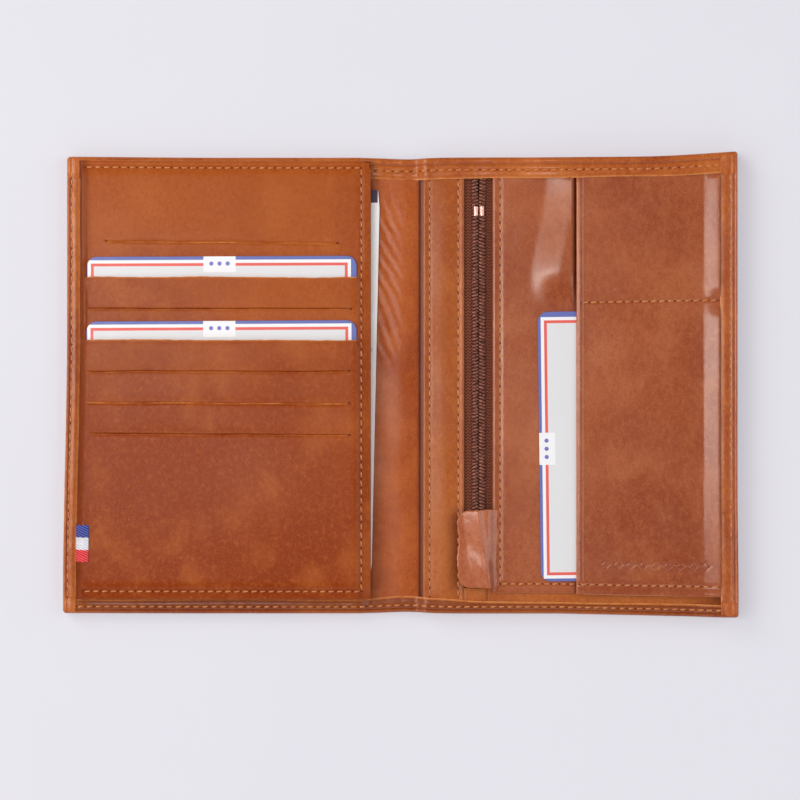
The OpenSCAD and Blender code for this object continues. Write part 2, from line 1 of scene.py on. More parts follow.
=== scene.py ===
"""Looks of an open leather travel wallet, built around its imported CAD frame.

Lengths in this file are millimetres in the row frame, and become metres where a mesh is made.
"""
import math

import bmesh
import bpy
import numpy as np
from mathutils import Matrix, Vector


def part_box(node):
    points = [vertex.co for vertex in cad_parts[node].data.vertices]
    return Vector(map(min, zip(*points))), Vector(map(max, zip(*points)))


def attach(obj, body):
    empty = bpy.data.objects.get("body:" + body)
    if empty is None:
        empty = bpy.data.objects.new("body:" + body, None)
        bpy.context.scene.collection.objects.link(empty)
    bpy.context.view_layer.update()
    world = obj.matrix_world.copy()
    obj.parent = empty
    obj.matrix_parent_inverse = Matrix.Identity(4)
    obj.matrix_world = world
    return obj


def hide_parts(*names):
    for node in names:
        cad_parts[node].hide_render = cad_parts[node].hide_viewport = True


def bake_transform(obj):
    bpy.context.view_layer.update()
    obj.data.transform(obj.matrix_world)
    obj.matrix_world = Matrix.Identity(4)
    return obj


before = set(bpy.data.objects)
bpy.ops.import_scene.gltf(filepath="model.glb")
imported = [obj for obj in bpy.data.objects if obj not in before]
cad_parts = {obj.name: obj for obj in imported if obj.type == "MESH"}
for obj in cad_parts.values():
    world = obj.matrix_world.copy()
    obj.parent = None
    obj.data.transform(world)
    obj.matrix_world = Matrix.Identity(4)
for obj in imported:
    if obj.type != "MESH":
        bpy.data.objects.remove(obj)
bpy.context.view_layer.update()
RNG = np.random.default_rng(7)
MM = 0.001


# ------------------------------------------------------------------ places taken from the frame

def span(node):
    """Lowest and highest corner of a CAD node, in millimetres."""
    low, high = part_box(node)
    return np.array(low) / MM, np.array(high) / MM


COVER_R, SPINE, LINING = span("cover_right"), span("cover_spine"), span("lining_spine")
PAGE_BACK = span("page_back")
DOC, DOC_POCKET = span("document"), span("document_pocket")
STRIP, PANEL, POCKET = span("zip_strip"), span("side_panel"), span("side_pocket")
TAPE, COIL = span("zip_tape_left"), span("zip_coil_left")
STOP, FLAP, TAG = span("zip_bottom_stop"), span("zip_garage_flap"), span("woven_tag")
CARD_UP, CARD_LOW, CARD_SIDE = span("card_upper"), span("card_lower"), span("side_card")
STRIP_SEAM, PANEL_SEAM = span("zip_strip_seam"), span("side_panel_seam")
POCKET_SEAM, PAGE_SEAM = span("side_pocket_seam"), span("page_seam")
SEAM_L, SEAM_R = span("cover_seam_left"), span("cover_seam_right")

HALF_W, HALF_H = COVER_R[1][0], COVER_R[1][1]
COVER_T, FLOOR = LINING[0][2], LINING[1][2]
FOLD = SPINE[1][0] + 0.05
BEND = 2.6                      # half the width of the leather that bends at each fold
INNER_Y = HALF_H - 1.4          # how far up and down the linings reach
HEM_T = 0.7                     # thickness of a turned edge
HEM_L, HEM_R, HEM_TOP, HEM_BOTTOM = 4.2, 5.6, 6.6, 4.6      # how far each turned edge reaches in
SIDE_LEVEL = {-1: 4.6, 1: 6.75}     # height of the turned edge at the left and right side
SEAM_HALF = 0.25                # from a seam node's side to its line of stitches
STITCH_TOP, STITCH_BOTTOM = HALF_H - SEAM_L[1][1] + SEAM_HALF, SEAM_L[0][1] + HALF_H + SEAM_HALF
STITCH_L, STITCH_R = SEAM_L[0][0] + HALF_W + SEAM_HALF, HALF_W - SEAM_R[1][0] + SEAM_HALF
HEM_DENT = 0.22                 # how deep the cover's stitches lie in the turned edge
PITCH = 2.75                    # from one stitch to the next
STITCH_LONG = 0.74              # length of a stitch, as a share of the pitch
STITCH_SLANT = 7                # degrees that a stitch leans away from its seam
THREAD_R = 0.29                 # half the width of a stitch
UNDER_SEAM = 0.09               # height of the stitches on the underside
SLITS = [45.6] + [34.4 - 9.96 * k for k in range(6)]        # heights of the page's slits, from the top
PAGE_T = 0.6                    # thickness of the page's front leather
DOC_TURN = 1.25                 # degrees that the booklet is turned in its pocket
LEVELS = [5.24, 6.46, 7.92]     # top of the page above the upper card, below it, and below the lower card


# ------------------------------------------------------------------ small maths

def smooth(t):
    t = np.clip(t, 0, 1)
    return t * t * (3 - 2 * t)


def hump(t):
    return np.exp(-t * t)


def waves(x, y, seed, size=30.0, count=5):
    """Slow random undulation between about -1 and 1."""
    rng = np.random.default_rng(seed)
    total = 0
    for _ in range(count):
        angle, phase = rng.uniform(0, 2 * math.pi, 2)
        k = 2 * math.pi / (size * rng.uniform(0.6, 1.7))
        total = total + np.sin(k * (x * math.cos(angle) + y * math.sin(angle)) + phase)
    return total / count * 1.4


def grid(a, b, step, marks=(), fine=(0, 0.12, 0.25, 0.45, 0.8, 1.3)):
    """Grid lines from a to b, closer together around each mark and at both ends."""
    out = list(np.linspace(a, b, max(2, int(round((b - a) / step)) + 1)))
    for m in list(marks) + [a, b]:
        out += [m + s * f for f in fine for s in (-1, 1)]
    out = sorted(v for v in out if a - 1e-6 <= v <= b + 1e-6)
    kept = [a]
    for v in out:
        if v - kept[-1] > 0.055:
            kept.append(v)
    if b - kept[-1] < 0.05:
        kept[-1] = b
    else:
        kept.append(b)
    return np.array(kept)


def warp(x, y):
    """The wallet's small bends in plan: flared corners, a drawn-in spine, a lean at the lower left."""
    x, y = np.asarray(x, float), np.asarray(y, float)
    tall = smooth((np.abs(y) - 30) / (HALF_H - 30))
    right = np.clip((x - 50) / (HALF_W - 50), 0, 1.1)
    corner = np.clip((x - 76) / (HALF_W - 76), 0, 1.1)
    flare = np.where(y > 0, 0.45 * right + 1.45 * corner ** 1.5, -1.25 * right)
    dy = flare * tall - np.sign(y) * 0.42 * hump((x - 1.5) / 8) * tall
    left = smooth((-x - 60) / (HALF_W - 60))
    dy = dy + np.where(y > 0, 0.3, 0.1) * left * tall
    dx = -1.3 * smooth((-x - 40) / 62) * smooth((18 - y) / 85) + 0.35 * right ** 2 * smooth((-y - 30) / 40)
    return x + dx, y + dy


def flat(z):
    """A surface of the same height everywhere."""
    return lambda x, y: np.full_like(np.asarray(x, float), z)


# ------------------------------------------------------------------ mesh building

def grid_faces(n, m, start=0):
    """Four-sided faces over n by m points, the first of which is number start."""
    index = start + np.arange(n * m).reshape(n, m)
    corners = index[:-1, :-1], index[1:, :-1], index[1:, 1:], index[:-1, 1:]
    return list(zip(*(corner.ravel() for corner in corners)))


def closed_faces(n, m):
    """Faces of a closed sheet: n by m points above, as many below, and the band between them."""
    upper, k = grid_faces(n, m), n * m
    index = np.arange(k).reshape(n, m)
    ring = list(index[:, 0]) + list(index[-1, 1:]) + list(index[-2::-1, -1]) + list(index[0, -2:0:-1])
    lower = [(a + k, d + k, c + k, b + k) for a, b, c, d in upper]
    return upper + lower + [(p, p + k, q + k, q) for p, q in zip(ring, ring[1:] + ring[:1])]


def disc_faces(base, count):
    """Faces of a thin disc: its middle and count points round it, then as many below."""
    faces, low = [], base + count + 1
    for i in range(count):
        j = (i + 1) % count
        faces += [(base, base + 1 + i, base + 1 + j), (low, low + 1 + j, low + 1 + i),
                  (base + 1 + i, low + 1 + i, low + 1 + j, base + 1 + j)]
    return faces


def tube_faces(rings, sides, base=0):
    """Faces of a tube, closed at both ends."""
    faces = []
    for r in range(rings - 1):
        for s in range(sides):
            a, b = base + r * sides + s, base + r * sides + (s + 1) % sides
            faces.append((a, b, b + sides, a + sides))
    faces.append(tuple(base + s for s in range(sides)))
    faces.append(tuple(base + (rings - 1) * sides + s for s in reversed(range(sides))))
    return faces


def joined(parts):
    """Several (verts, faces, raw) as one."""
    faces, start = [], 0
    for verts, part_faces, _ in parts:
        faces += [tuple(i + start for i in face) for face in part_faces]
        start += len(verts)
    return np.concatenate([part[0] for part in parts]), faces, np.concatenate([part[2] for part in parts])


def link(name, data):
    """A new object in the scene."""
    obj = bpy.data.objects.new(name, data)
    bpy.context.scene.collection.objects.link(obj)
    return obj


def make_object(name, verts, faces, material, attributes=None, angle=38, bent=True, merge=0.0):
    verts = np.asarray(verts, float).reshape(-1, 3).copy()
    if bent:
        verts[:, 0], verts[:, 1] = warp(verts[:, 0], verts[:, 1])
    mesh = bpy.data.meshes.new(name)
    mesh.from_pydata([tuple(v) for v in verts * MM], [], [tuple(int(i) for i in f) for f in faces])
    for key, values in (attributes or {}).items():
        layer = mesh.attributes.new(key, "FLOAT", "POINT")
        layer.data.foreach_set("value", np.asarray(values, np.float32).ravel())
    bm = bmesh.new()
    bm.from_mesh(mesh)
    if merge:
        bmesh.ops.remove_doubles(bm, verts=bm.verts, dist=merge * MM)
    bmesh.ops.recalc_face_normals(bm, faces=bm.faces)
    bm.to_mesh(mesh)
    bm.free()
    mesh.shade_smooth()
    mesh.set_sharp_from_angle(angle=math.radians(angle))
    mesh.materials.append(material)
    return link(name, mesh)


def finish_piece(obj, body=None, nodes=(), blend=None):
    if blend:
        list(blend)
        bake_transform(obj)
    else:
        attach(obj, body)
    if nodes:
        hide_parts(*nodes)


def slab_data(xs, ys, top, bottom, edge=0.35, under=0.15, corner=0.0):
    """A closed sheet over a grid, its edges rounded by edge above and under below, as (verts, faces, raw)."""
    X, Y = np.meshgrid(xs, ys, indexing="ij")
    border = np.minimum.reduce([X - xs[0], xs[-1] - X, Y - ys[0], ys[-1] - Y])
    if corner:
        # pull the corner points in to a round corner
        for cx, sx in ((xs[0] + corner, -1), (xs[-1] - corner, 1)):
            for cy, sy in ((ys[0] + corner, -1), (ys[-1] - corner, 1)):
                u, v = np.maximum(0, (X - cx) * sx), np.maximum(0, (Y - cy) * sy)
                inside = (u > 0) & (v > 0)
                big, r = np.maximum(u, v), np.hypot(u, v) + 1e-9
                k = np.where(inside, big / r, 1)
                X = np.where(inside, cx + sx * u * k, X)
                Y = np.where(inside, cy + sy * v * k, Y)
    Zt, Zb = top(X, Y), bottom(X, Y)

    def fall(r):
        t = np.clip(border / max(r, 1e-6), 0, 1)
        return r * (1 - np.sqrt(1 - (1 - t) ** 2))
    thick = np.maximum(Zt - Zb, 0.02)
    Zt = Zt - np.minimum(fall(edge), 0.62 * thick)
    Zb = Zb + np.minimum(fall(under), 0.25 * thick)
    verts = np.concatenate([np.stack([X, Y, Z], -1).reshape(-1, 3) for Z in (Zt, Zb)])
    raw = np.concatenate([np.clip(1 - border.ravel() / reach, 0, 1) for reach in (0.25, 0.12)])
    return verts, closed_faces(*X.shape), raw


def slab(name, xs, ys, top, bottom, material, edge=0.35, under=0.15, raw_scale=1.0, shade=None):
    """A closed sheet as an object. raw_scale pales its cut edges, and shade(x, y) paints shade onto it."""
    verts, faces, raw = slab_data(xs, ys, top, bottom, edge, under)
    attributes = {"raw": raw * raw_scale}
    if shade is not None:
        attributes["dark"] = np.clip(shade(verts[:, 0], verts[:, 1]), 0, 1)
    return make_object(name, verts, faces, material, attributes)


class Threads:
    """Rows of stitches and the holes between them, gathered into two meshes. The holes are dark discs of
    painted shadow.
    """

    def __init__(self):
        self.verts, self.faces, self.hole_verts, self.hole_faces = [], [], [], []

    def row(self, start, end, height, side=1):
        """Stitches from start to end on a surface whose height is height(x, y). Side -1 is the underside."""
        start, end = np.array(start, float), np.array(end, float)
        length = np.hypot(*(end - start))
        count = max(1, int(round(length / PITCH)))
        step = (end - start) / count
        along = step / np.hypot(*step)
        for i in range(count):
            mid = start + step * (i + 0.5)
            turn = math.radians(STITCH_SLANT + RNG.normal(0, 2.0))
            ca, sa = math.cos(turn), math.sin(turn)
            u = np.array([along[0] * ca - along[1] * sa, along[0] * sa + along[1] * ca])
            self._stitch(mid, u, PITCH * STITCH_LONG * RNG.uniform(0.95, 1.04), height, side)
            self._hole(start + step * i, along, height, side)
        self._hole(end, along, height, side)

    def _stitch(self, mid, u, long, height, side):
        v = np.array([-u[1], u[0]])
        base = sum(len(a) for a in self.verts)
        rings, sides = 7, 7
        pts = []
        for r in range(rings):
            t = r / (rings - 1) * 2 - 1
            fat = math.sqrt(max(0.0, 1 - abs(t) ** 3.2))
            centre = mid + u * t * long / 2
            lift = float(height(centre[0], centre[1])) + side * (0.12 - 0.3 * t ** 4)
            for s in range(sides):
                a = 2 * math.pi * s / sides
                p = centre + v * math.cos(a) * THREAD_R * (0.12 + fat * 0.88)
                pts.append((p[0], p[1], lift + math.sin(a) * THREAD_R * 0.75 * (0.12 + fat * 0.88)))
        self.verts.append(np.array(pts))
        self.faces += tube_faces(rings, sides, base)

    def _hole(self, at, along, height, side):
        # a dark disc of painted shadow inside the stitch hole
        across = np.array([-along[1], along[0]])
        base, count = sum(len(a) for a in self.hole_verts), 10
        pts = [(at[0], at[1], float(height(at[0], at[1])) + side * 0.075)]
        for s in range(count):
            a = 2 * math.pi * s / count
            p = at + along * math.cos(a) * 0.34 + across * math.sin(a) * 0.25
            pts.append((p[0], p[1], float(height(p[0], p[1])) + side * 0.03))
        low = [(p[0], p[1], p[2] - side * 0.1) for p in pts]
        self.hole_verts.append(np.array(pts + low))
        self.hole_faces += disc_faces(base, count)

    def build(self, name, body=None, nodes=(), blend=None):
        thread = make_object(name, np.concatenate(self.verts), self.faces, MAT["thread"], angle=60)
        finish_piece(thread, body, nodes, blend)
        holes = make_object(name + "_holes", np.concatenate(self.hole_verts), self.hole_faces, MAT["hole"])
        finish_piece(holes, body, (), blend)


# ------------------------------------------------------------------ materials

MAT = {}


class Nodes:
    """A short way to write a node tree."""

    def __init__(self, name):
        self.material = bpy.data.materials.new(name)
        self.material.use_nodes = True
        self.tree = self.material.node_tree
        self.tree.nodes.clear()
        self.out = self.tree.nodes.new("ShaderNodeOutputMaterial")
        self.shader = self.tree.nodes.new("ShaderNodeBsdfPrincipled")
        self.tree.links.new(self.shader.outputs[0], self.out.inputs[0])
        coordinates = self.tree.nodes.new("ShaderNodeTexCoord")
        scale = self.tree.nodes.new("ShaderNodeVectorMath")
        scale.operation = "SCALE"
        scale.inputs["Scale"].default_value = 1 / MM
        self.tree.links.new(coordinates.outputs["Object"], scale.inputs[0])
        self.mm = scale.outputs[0]

    def put(self, socket, value):
        if isinstance(value, bpy.types.NodeSocket):
            self.tree.links.new(value, socket)
        else:
            socket.default_value = value

    def set(self, **values):
        for key, value in values.items():
            self.put(self.shader.inputs[key.replace("_", " ")], value)

    def math(self, operation, *values):
        node = self.tree.nodes.new("ShaderNodeMath")
        node.operation = operation
        for socket, value in zip(node.inputs, values):
            self.put(socket, value)
        return node.outputs[0]

    def split(self):
        node = self.tree.nodes.new("ShaderNodeSeparateXYZ")
        self.put(node.inputs[0], self.mm)
        return node.outputs

    def stretched(self, x=1.0, y=1.0, z=1.0, turn=0.0):
        node = self.tree.nodes.new("ShaderNodeMapping")
        self.put(node.inputs["Vector"], self.mm)
        node.inputs["Scale"].default_value = (x, y, z)
        node.inputs["Rotation"].default_value = (0, 0, turn)
        return node.outputs[0]

    def noise(self, scale, detail=2.0, rough=0.5, vector=None, distortion=0.0):
        node = self.tree.nodes.new("ShaderNodeTexNoise")
        self.put(node.inputs["Vector"], vector or self.mm)
        node.inputs["Scale"].default_value = scale
        node.inputs["Detail"].default_value = detail
        node.inputs["Roughness"].default_value = rough
        node.inputs["Distortion"].default_value = distortion
        return node.outputs[0]

    def cells(self, scale, feature="F1", vector=None):
        node = self.tree.nodes.new("ShaderNodeTexVoronoi")
        node.feature = feature
        self.put(node.inputs["Vector"], vector or self.mm)
        node.inputs["Scale"].default_value = scale
        return node.outputs["Distance"]

    def ramp(self, value, low, high, to_low=0.0, to_high=1.0):
        node = self.tree.nodes.new("ShaderNodeMapRange")
        node.interpolation_type = "SMOOTHSTEP"
        for socket, v in zip(node.inputs[:5], (value, low, high, to_low, to_high)):
            self.put(socket, v)
        return node.outputs[0]

    def mix(self, factor, a, b):
        node = self.tree.nodes.new("ShaderNodeMix")
        node.data_type = "RGBA"
        self.put(node.inputs["Factor"], factor)
        for key, value in ((6, a), (7, b)):
            self.put(node.inputs[key], (*value, 1.0) if isinstance(value, tuple) else value)
        return node.outputs[2]

    def mottled(self, scale, detail, low, high):
        """Two colours in soft patches."""
        return self.mix(self.ramp(self.noise(scale, detail), 0.3, 0.7), srgb(*low), srgb(*high))

    def attribute(self, name):
        node = self.tree.nodes.new("ShaderNodeAttribute")
        node.attribute_name = name
        return node.outputs["Fac"]

    def bump(self, *layers):
        """layers: (height socket, strength, depth in millimetres), the finest last."""
        normal = None
        for height, strength, depth in layers:
            node = self.tree.nodes.new("ShaderNodeBump")
            node.inputs["Strength"].default_value = strength
            node.inputs["Distance"].default_value = depth * MM
            self.put(node.inputs["Height"], height)
            if normal is not None:
                self.put(node.inputs["Normal"], normal)
            normal = node.outputs[0]
        self.put(self.shader.inputs["Normal"], normal)


def srgb(r, g, b):
    """Colour as it looks in a picture, 0 to 255, in linear light."""
    def lin(c):
        c /= 255
        return c / 12.92 if c <= 0.04045 else ((c + 0.055) / 1.055) ** 2.4
    return (lin(r), lin(g), lin(b))


def leather(name, main, light, dark, rough, seed, lower=None, *, shine):
    """Waxed leather: cloudy, pebbled and fibrous. lower is the colour that it takes on towards the bottom, a
    redder tone together with painted shade.
    """
    n = Nodes(name)
    base, pale, deep = srgb(*main), srgb(*light), srgb(*dark)
    shifted = n.stretched(1.0, 0.8, 1.0, 0.35 + seed)
    large = n.noise(0.02, 2.0, 0.5, shifted, 0.3)
    patch = n.noise(0.075, 3.0, 0.55, shifted, 0.3)
    pebble = n.noise(0.75, 4.0, 0.7, n.stretched(1.0, 0.75, 1.0, 0.12 + seed), 0.3)
    fine = n.noise(2.1, 4.0, 0.75)
    colour = n.mix(n.ramp(large, 0.34, 0.62), deep, base)
    if lower:
        # towards the bottom the leather turns redder in tone and darker with painted shade
        low = n.math("ADD", n.split()[1], n.math("MULTIPLY", n.math("SUBTRACT", large, 0.5), 60.0))
        colour = n.mix(n.ramp(low, -62.0, 40.0, 0.9, 0.0), colour, srgb(*lower))
    for pattern, low, high, to_low, to_high, onto in (
            (patch, 0.44, 0.72, 0.0, 0.45, pale), (pebble, 0.45, 0.72, 0.0, 0.45, pale),
            (pebble, 0.28, 0.52, 0.5, 0.0, deep), (fine, 0.45, 0.68, 0.0, 0.4, pale),
            (fine, 0.32, 0.52, 0.42, 0.0, deep)):
        colour = n.mix(n.ramp(pattern, low, high, to_low, to_high), colour, onto)
    specks = n.ramp(n.cells(0.9, vector=n.stretched(1.0, 1.0, 1.0, 0.7)), 0.0, 0.11, 0.3, 0.0)
    colour = n.mix(specks, colour, deep)
    # painted shade: the dark attribute darkens creases, gaps and faces turned away from the light
    colour = n.mix(n.attribute("dark"), colour, srgb(84, 30, 10))
    # the cut edge shows the pale middle of the hide, unevenly
    edge = n.math("MULTIPLY", n.attribute("raw"), n.ramp(n.noise(0.55, 3.0), 0.25, 0.65, 0.35, 1.0))
    colour = n.mix(edge, colour, srgb(208, 134, 72))
    grain = n.cells(1.35, "SMOOTH_F1", n.stretched(1.0, 0.85, 1.0, 0.4))
    fibre = n.noise(5.5, 2.0, 0.6)
    crease = n.noise(0.35, 5.0, 0.62, n.stretched(1.0, 0.5, 1.0, 0.9), 1.2)
    n.bump((crease, 0.12, 0.3), (pebble, 0.13, 0.1), (grain, 0.11, 0.06), (fibre, 0.10, 0.04))
    gloss = n.ramp(n.noise(0.06, 3.0, 0.6), 0.3, 0.75, rough - 0.03, rough + 0.06)
    dull = n.math("ADD", n.math("MULTIPLY", edge, 0.3), n.math("MULTIPLY", n.attribute("dark"), 0.08))
    n.set(Base_Color=colour, Roughness=n.math("ADD", gloss, dull))
    n.set(Specular_IOR_Level=shine, Coat_Weight=0.3 * shine, Coat_Roughness=0.14)
    return n.material


def thread_material():
    n = Nodes("thread_waxed")
    twist = n.tree.nodes.new("ShaderNodeTexWave")
    n.put(twist.inputs["Vector"], n.stretched(1.0, 1.0, 1.0, 0.6))
    twist.inputs["Scale"].default_value = 1.6
    twist.inputs["Distortion"].default_value = 0.6
    colour = n.mottled(1.1, 2.0, (184, 102, 48), (212, 138, 76))
    colour = n.mix(n.ramp(twist.outputs["Fac"], 0.0, 0.5, 0.4, 0.0), colour, srgb(150, 78, 42))
    n.bump((twist.outputs["Fac"], 0.5, 0.08))
    n.set(Base_Color=colour, Roughness=0.55)
    return n.material


def hole_material():
    n = Nodes("stitch_hole_shadow")
    colour = n.mottled(3.0, 2.0, (84, 32, 14), (120, 52, 26))
    n.set(Base_Color=colour, Roughness=0.8, Specular_IOR_Level=0.1)
    return n.material


def fabric_material():
    """Pocket fabric: crossing yarns."""
    n = Nodes("slot_fabric_weave")
    low, high, pitch = srgb(46, 30, 24), srgb(84, 58, 46), 0.3
    x, y, _ = n.split()
    weave = n.math("MULTIPLY", *(n.math("SINE", n.math("MULTIPLY", v, 2 * math.pi / pitch)) for v in (x, y)))
    colour = n.mix(n.ramp(weave, -0.8, 0.8), low, high)
    colour = n.mix(n.ramp(n.noise(0.4, 3.0), 0.3, 0.7, 0.0, 0.5), colour, low)
    n.bump((weave, 0.6, 0.1))
    n.set(Base_Color=colour, Roughness=0.75, Specular_IOR_Level=0.3, Sheen_Weight=0.25)
    return n.material


def tape_material():
    """Zip tape: slanting ribs that change side at every yarn, as in a herringbone weave."""
    n = Nodes("zip_tape_weave")
    x, y, z = n.split()
    zigzag = n.math("PINGPONG", x, 0.62)
    rib = n.math("SINE", n.math("MULTIPLY", n.math("ADD", y, n.math("MULTIPLY", zigzag, 1.1)), 6.4))
    colour = n.mix(n.ramp(rib, -0.7, 0.8), srgb(60, 20, 12), srgb(144, 76, 50))
    colour = n.mix(n.ramp(n.noise(0.8, 3.0), 0.3, 0.7, 0.0, 0.35), colour, srgb(92, 42, 26))
    n.bump((rib, 0.7, 0.14))
    n.set(Base_Color=colour, Roughness=0.7, Specular_IOR_Level=0.3)
    return n.material


def nylon_material():
    n = Nodes("zip_coil_nylon")
    colour = n.mottled(0.9, 3.0, (80, 34, 24), (146, 88, 68))
    n.bump((n.noise(7.0, 2.0), 0.12, 0.03))
    n.set(Base_Color=colour, Roughness=0.36, Specular_IOR_Level=0.55)
    return n.material


def metal_material(name, colour, rough):
    n = Nodes(name)
    brushed = n.noise(3.0, 4.0, 0.6, n.stretched(1.0, 6.0, 1.0))
    tint = n.mottled(0.7, 2.0, colour, [min(255, c + 18) for c in colour])
    n.bump((brushed, 0.08, 0.02))
    n.set(Base_Color=tint, Roughness=n.ramp(brushed, 0.2, 0.8, rough, rough + 0.14), Metallic=1.0)
    return n.material


def card_material(name, half, borders):
    """Printed card: a blue rim of the given widths (left, right, bottom, top), then white, red and white.
    Card coordinates are millimetres from its middle. half is half its size."""
    n = Nodes(name)
    x, y, z = n.split()
    left, right, bottom, top = borders
    hx, hy = half
    sides = [n.math("ADD", x, hx - left), n.math("SUBTRACT", hx - right, x),
             n.math("ADD", y, hy - bottom), n.math("SUBTRACT", hy - top, y)]
    inside = n.math("MINIMUM", n.math("MINIMUM", sides[0], sides[1]), n.math("MINIMUM", sides[2], sides[3]))

    white, centre = srgb(232, 232, 236), srgb(214, 215, 219)
    colour = n.mix(n.ramp(inside, 1.9, 2.0), white, centre)
    red = n.math("MULTIPLY", n.ramp(inside, 0.97, 1.07), n.ramp(inside, 1.9, 2.0, 1, 0))
    colour = n.mix(red, colour, srgb(222, 92, 84))
    colour = n.mix(n.ramp(inside, -0.05, 0.05, 1, 0), colour, srgb(96, 106, 172))
    # a plain tab that breaks the frame in the middle of its upper side, with a row of dots
    tab_x, tab_y = n.math("ADD", x, 0.7), n.math("SUBTRACT", hy, y)
    tab = n.math("MULTIPLY", n.ramp(n.math("ABSOLUTE", tab_x), 5.05, 5.15, 1, 0),
                 n.ramp(tab_y, 5.0, 5.1, 1, 0))
    tab = n.math("MULTIPLY", tab, n.ramp(z, -0.1, 0.0))
    colour = n.mix(tab, colour, white)
    for at in (-2.6, 0.0, 2.6):
        away = n.math("SQRT", n.math("ADD", n.math("POWER", n.math("SUBTRACT", tab_x, at), 2.0),
                                     n.math("POWER", n.math("SUBTRACT", tab_y, 2.3), 2.0)))
        colour = n.mix(n.math("MULTIPLY", tab, n.ramp(away, 0.62, 0.72, 1, 0)), colour, srgb(112, 112, 186))
    n.bump((n.noise(2.2, 3.0), 0.04, 0.03))
    n.set(Base_Color=colour, Roughness=n.ramp(n.noise(0.3, 3.0), 0.3, 0.7, 0.28, 0.36))
    n.set(Specular_IOR_Level=0.45)
    return n.material


def paper_material():
    n = Nodes("booklet_paper")
    x, y, z = n.split()
    along = n.math("SUBTRACT", x, DOC[1][0])
    pages = n.math("SINE", n.math("MULTIPLY", z, 2 * math.pi / 0.12))
    colour = n.mottled(0.12, 3.0, (248, 247, 246), (252, 251, 250))
    # painted shade in the gaps between the leaves, along the booklet's edge
    colour = n.mix(n.ramp(pages, 0.0, 1.0, 0.0, 0.12), colour, srgb(180, 176, 170))
    # a dark printed band near its head, and faint grey marks half way down
    slant = math.tan(math.radians(DOC_TURN))
    local = n.math("ADD", along, n.math("MULTIPLY", n.math("SUBTRACT", 62.0, y), slant))
    head = n.math("MULTIPLY", n.ramp(y, 58.0, 58.3), n.ramp(local, -1.05, -0.9, 1, 0))
    colour = n.mix(head, colour, srgb(72, 52, 70))
    marks = n.math("MULTIPLY", n.ramp(n.math("ABSOLUTE", n.math("SUBTRACT", y, 18.0)), 11.0, 11.6, 1, 0),
                   n.ramp(n.cells(0.33, vector=n.stretched(1.6, 1.0, 1.0)), 0.25, 0.32, 1, 0))
    marks = n.math("MULTIPLY", marks, n.ramp(local, -1.1, -0.95, 1, 0))
    colour = n.mix(n.math("MULTIPLY", marks, 0.5), colour, srgb(150, 148, 150))
    n.bump((n.noise(4.0, 3.0), 0.1, 0.03))
    n.set(Base_Color=colour, Roughness=0.6)
    return n.material


def tag_material(low, high):
    """Woven ribbon: blue, white and red bands from top to bottom, in a slanting weave."""
    n = Nodes("tag_ribbon")
    x, y, z = n.split()
    third = (high - low) / 3
    rib = n.math("SINE", n.math("ADD", n.math("MULTIPLY", x, 3.6), n.math("MULTIPLY", y, 8.2)))
    cross = n.math("SINE", n.math("MULTIPLY", x, 11.0))
    height = n.math("ADD", y, n.math("MULTIPLY", n.math("ADD", rib, cross), 0.09))
    colour = srgb(212, 26, 36)
    for start, onto in ((low + third, srgb(216, 217, 224)), (low + 2 * third, srgb(30, 50, 142))):
        colour = n.mix(n.ramp(height, start - 0.06, start + 0.06), colour, onto)
    # painted highlight on the crests of the ribs, and painted shade in the hollows between them
    colour = n.mix(n.ramp(rib, -0.2, 0.9, 0.0, 0.12), colour, srgb(250, 250, 255))
    colour = n.mix(n.ramp(rib, -1.0, -0.3, 0.32, 0.0), colour, srgb(30, 26, 46))
    n.bump((rib, 0.6, 0.12), (cross, 0.3, 0.06))
    n.set(Base_Color=colour, Roughness=0.6, Specular_IOR_Level=0.2)
    return n.material


def floor_material():
    n = Nodes("studio_paper")
    colour = n.mottled(0.01, 2.0, (231, 230, 239), (232, 231, 240))
    n.set(Base_Color=n.mix(0.55, colour, (0.0, 0.0, 0.0)), Roughness=0.9, Specular_IOR_Level=0.1)
    n.set(Emission_Color=colour, Emission_Strength=0.473)
    return n.material


MAT["outer"] = leather("leather_outer", (174, 90, 36), (196, 113, 54), (142, 58, 18), 0.25, 0.3, shine=0.36)
MAT["page"] = leather("leather_page", (158, 76, 28), (174, 94, 42), (138, 58, 18), 0.26, 0.0,
                      lower=(122, 40, 8), shine=0.12)
MAT["panel"] = leather("leather_panel", (156, 80, 44), (176, 102, 62), (134, 58, 28), 0.24, 1.1, shine=0.5)
MAT["strip"] = leather("leather_strip", (164, 86, 36), (184, 108, 54), (144, 66, 26), 0.25, 2.0, shine=0.26)
MAT["lining"] = leather("leather_lining", (162, 76, 28), (184, 98, 44), (136, 54, 16), 0.28, 0.7, shine=0.24)
MAT["flap"] = leather("leather_flap", (162, 84, 50), (188, 112, 76), (136, 60, 30), 0.22, 1.7, shine=0.5)
MAT["thread"] = thread_material()
MAT["hole"] = hole_material()
MAT["tape"] = tape_material()
MAT["fabric"] = fabric_material()
MAT["nylon"] = nylon_material()
MAT["metal"] = metal_material("rose_gold_plate", (220, 176, 164), 0.3)


# ------------------------------------------------------------------ outer leather with its turned edges

def hem_level(x, sign, top_side):
    """Height of the top of the turned edge along the wallet's top or bottom."""
    base = FLOOR + HEM_T
    if sign < 0:
        level = base + (3.9 - base) * smooth((-x - 10.2) / 2.2)
        return level + (4.6 - 3.9) * smooth((-x - 98) / 6)
    level = base + (4.8 - base) * smooth((x - 4.0) / 4.0)
    if top_side:
        return level + (5.5 - 4.8) * smooth((x - 20) / 12) + (SIDE_LEVEL[1] - 5.5) * smooth((x - 38) / 15)
    return level + (SIDE_LEVEL[1] - 4.8) * smooth((x - 90) / 11)


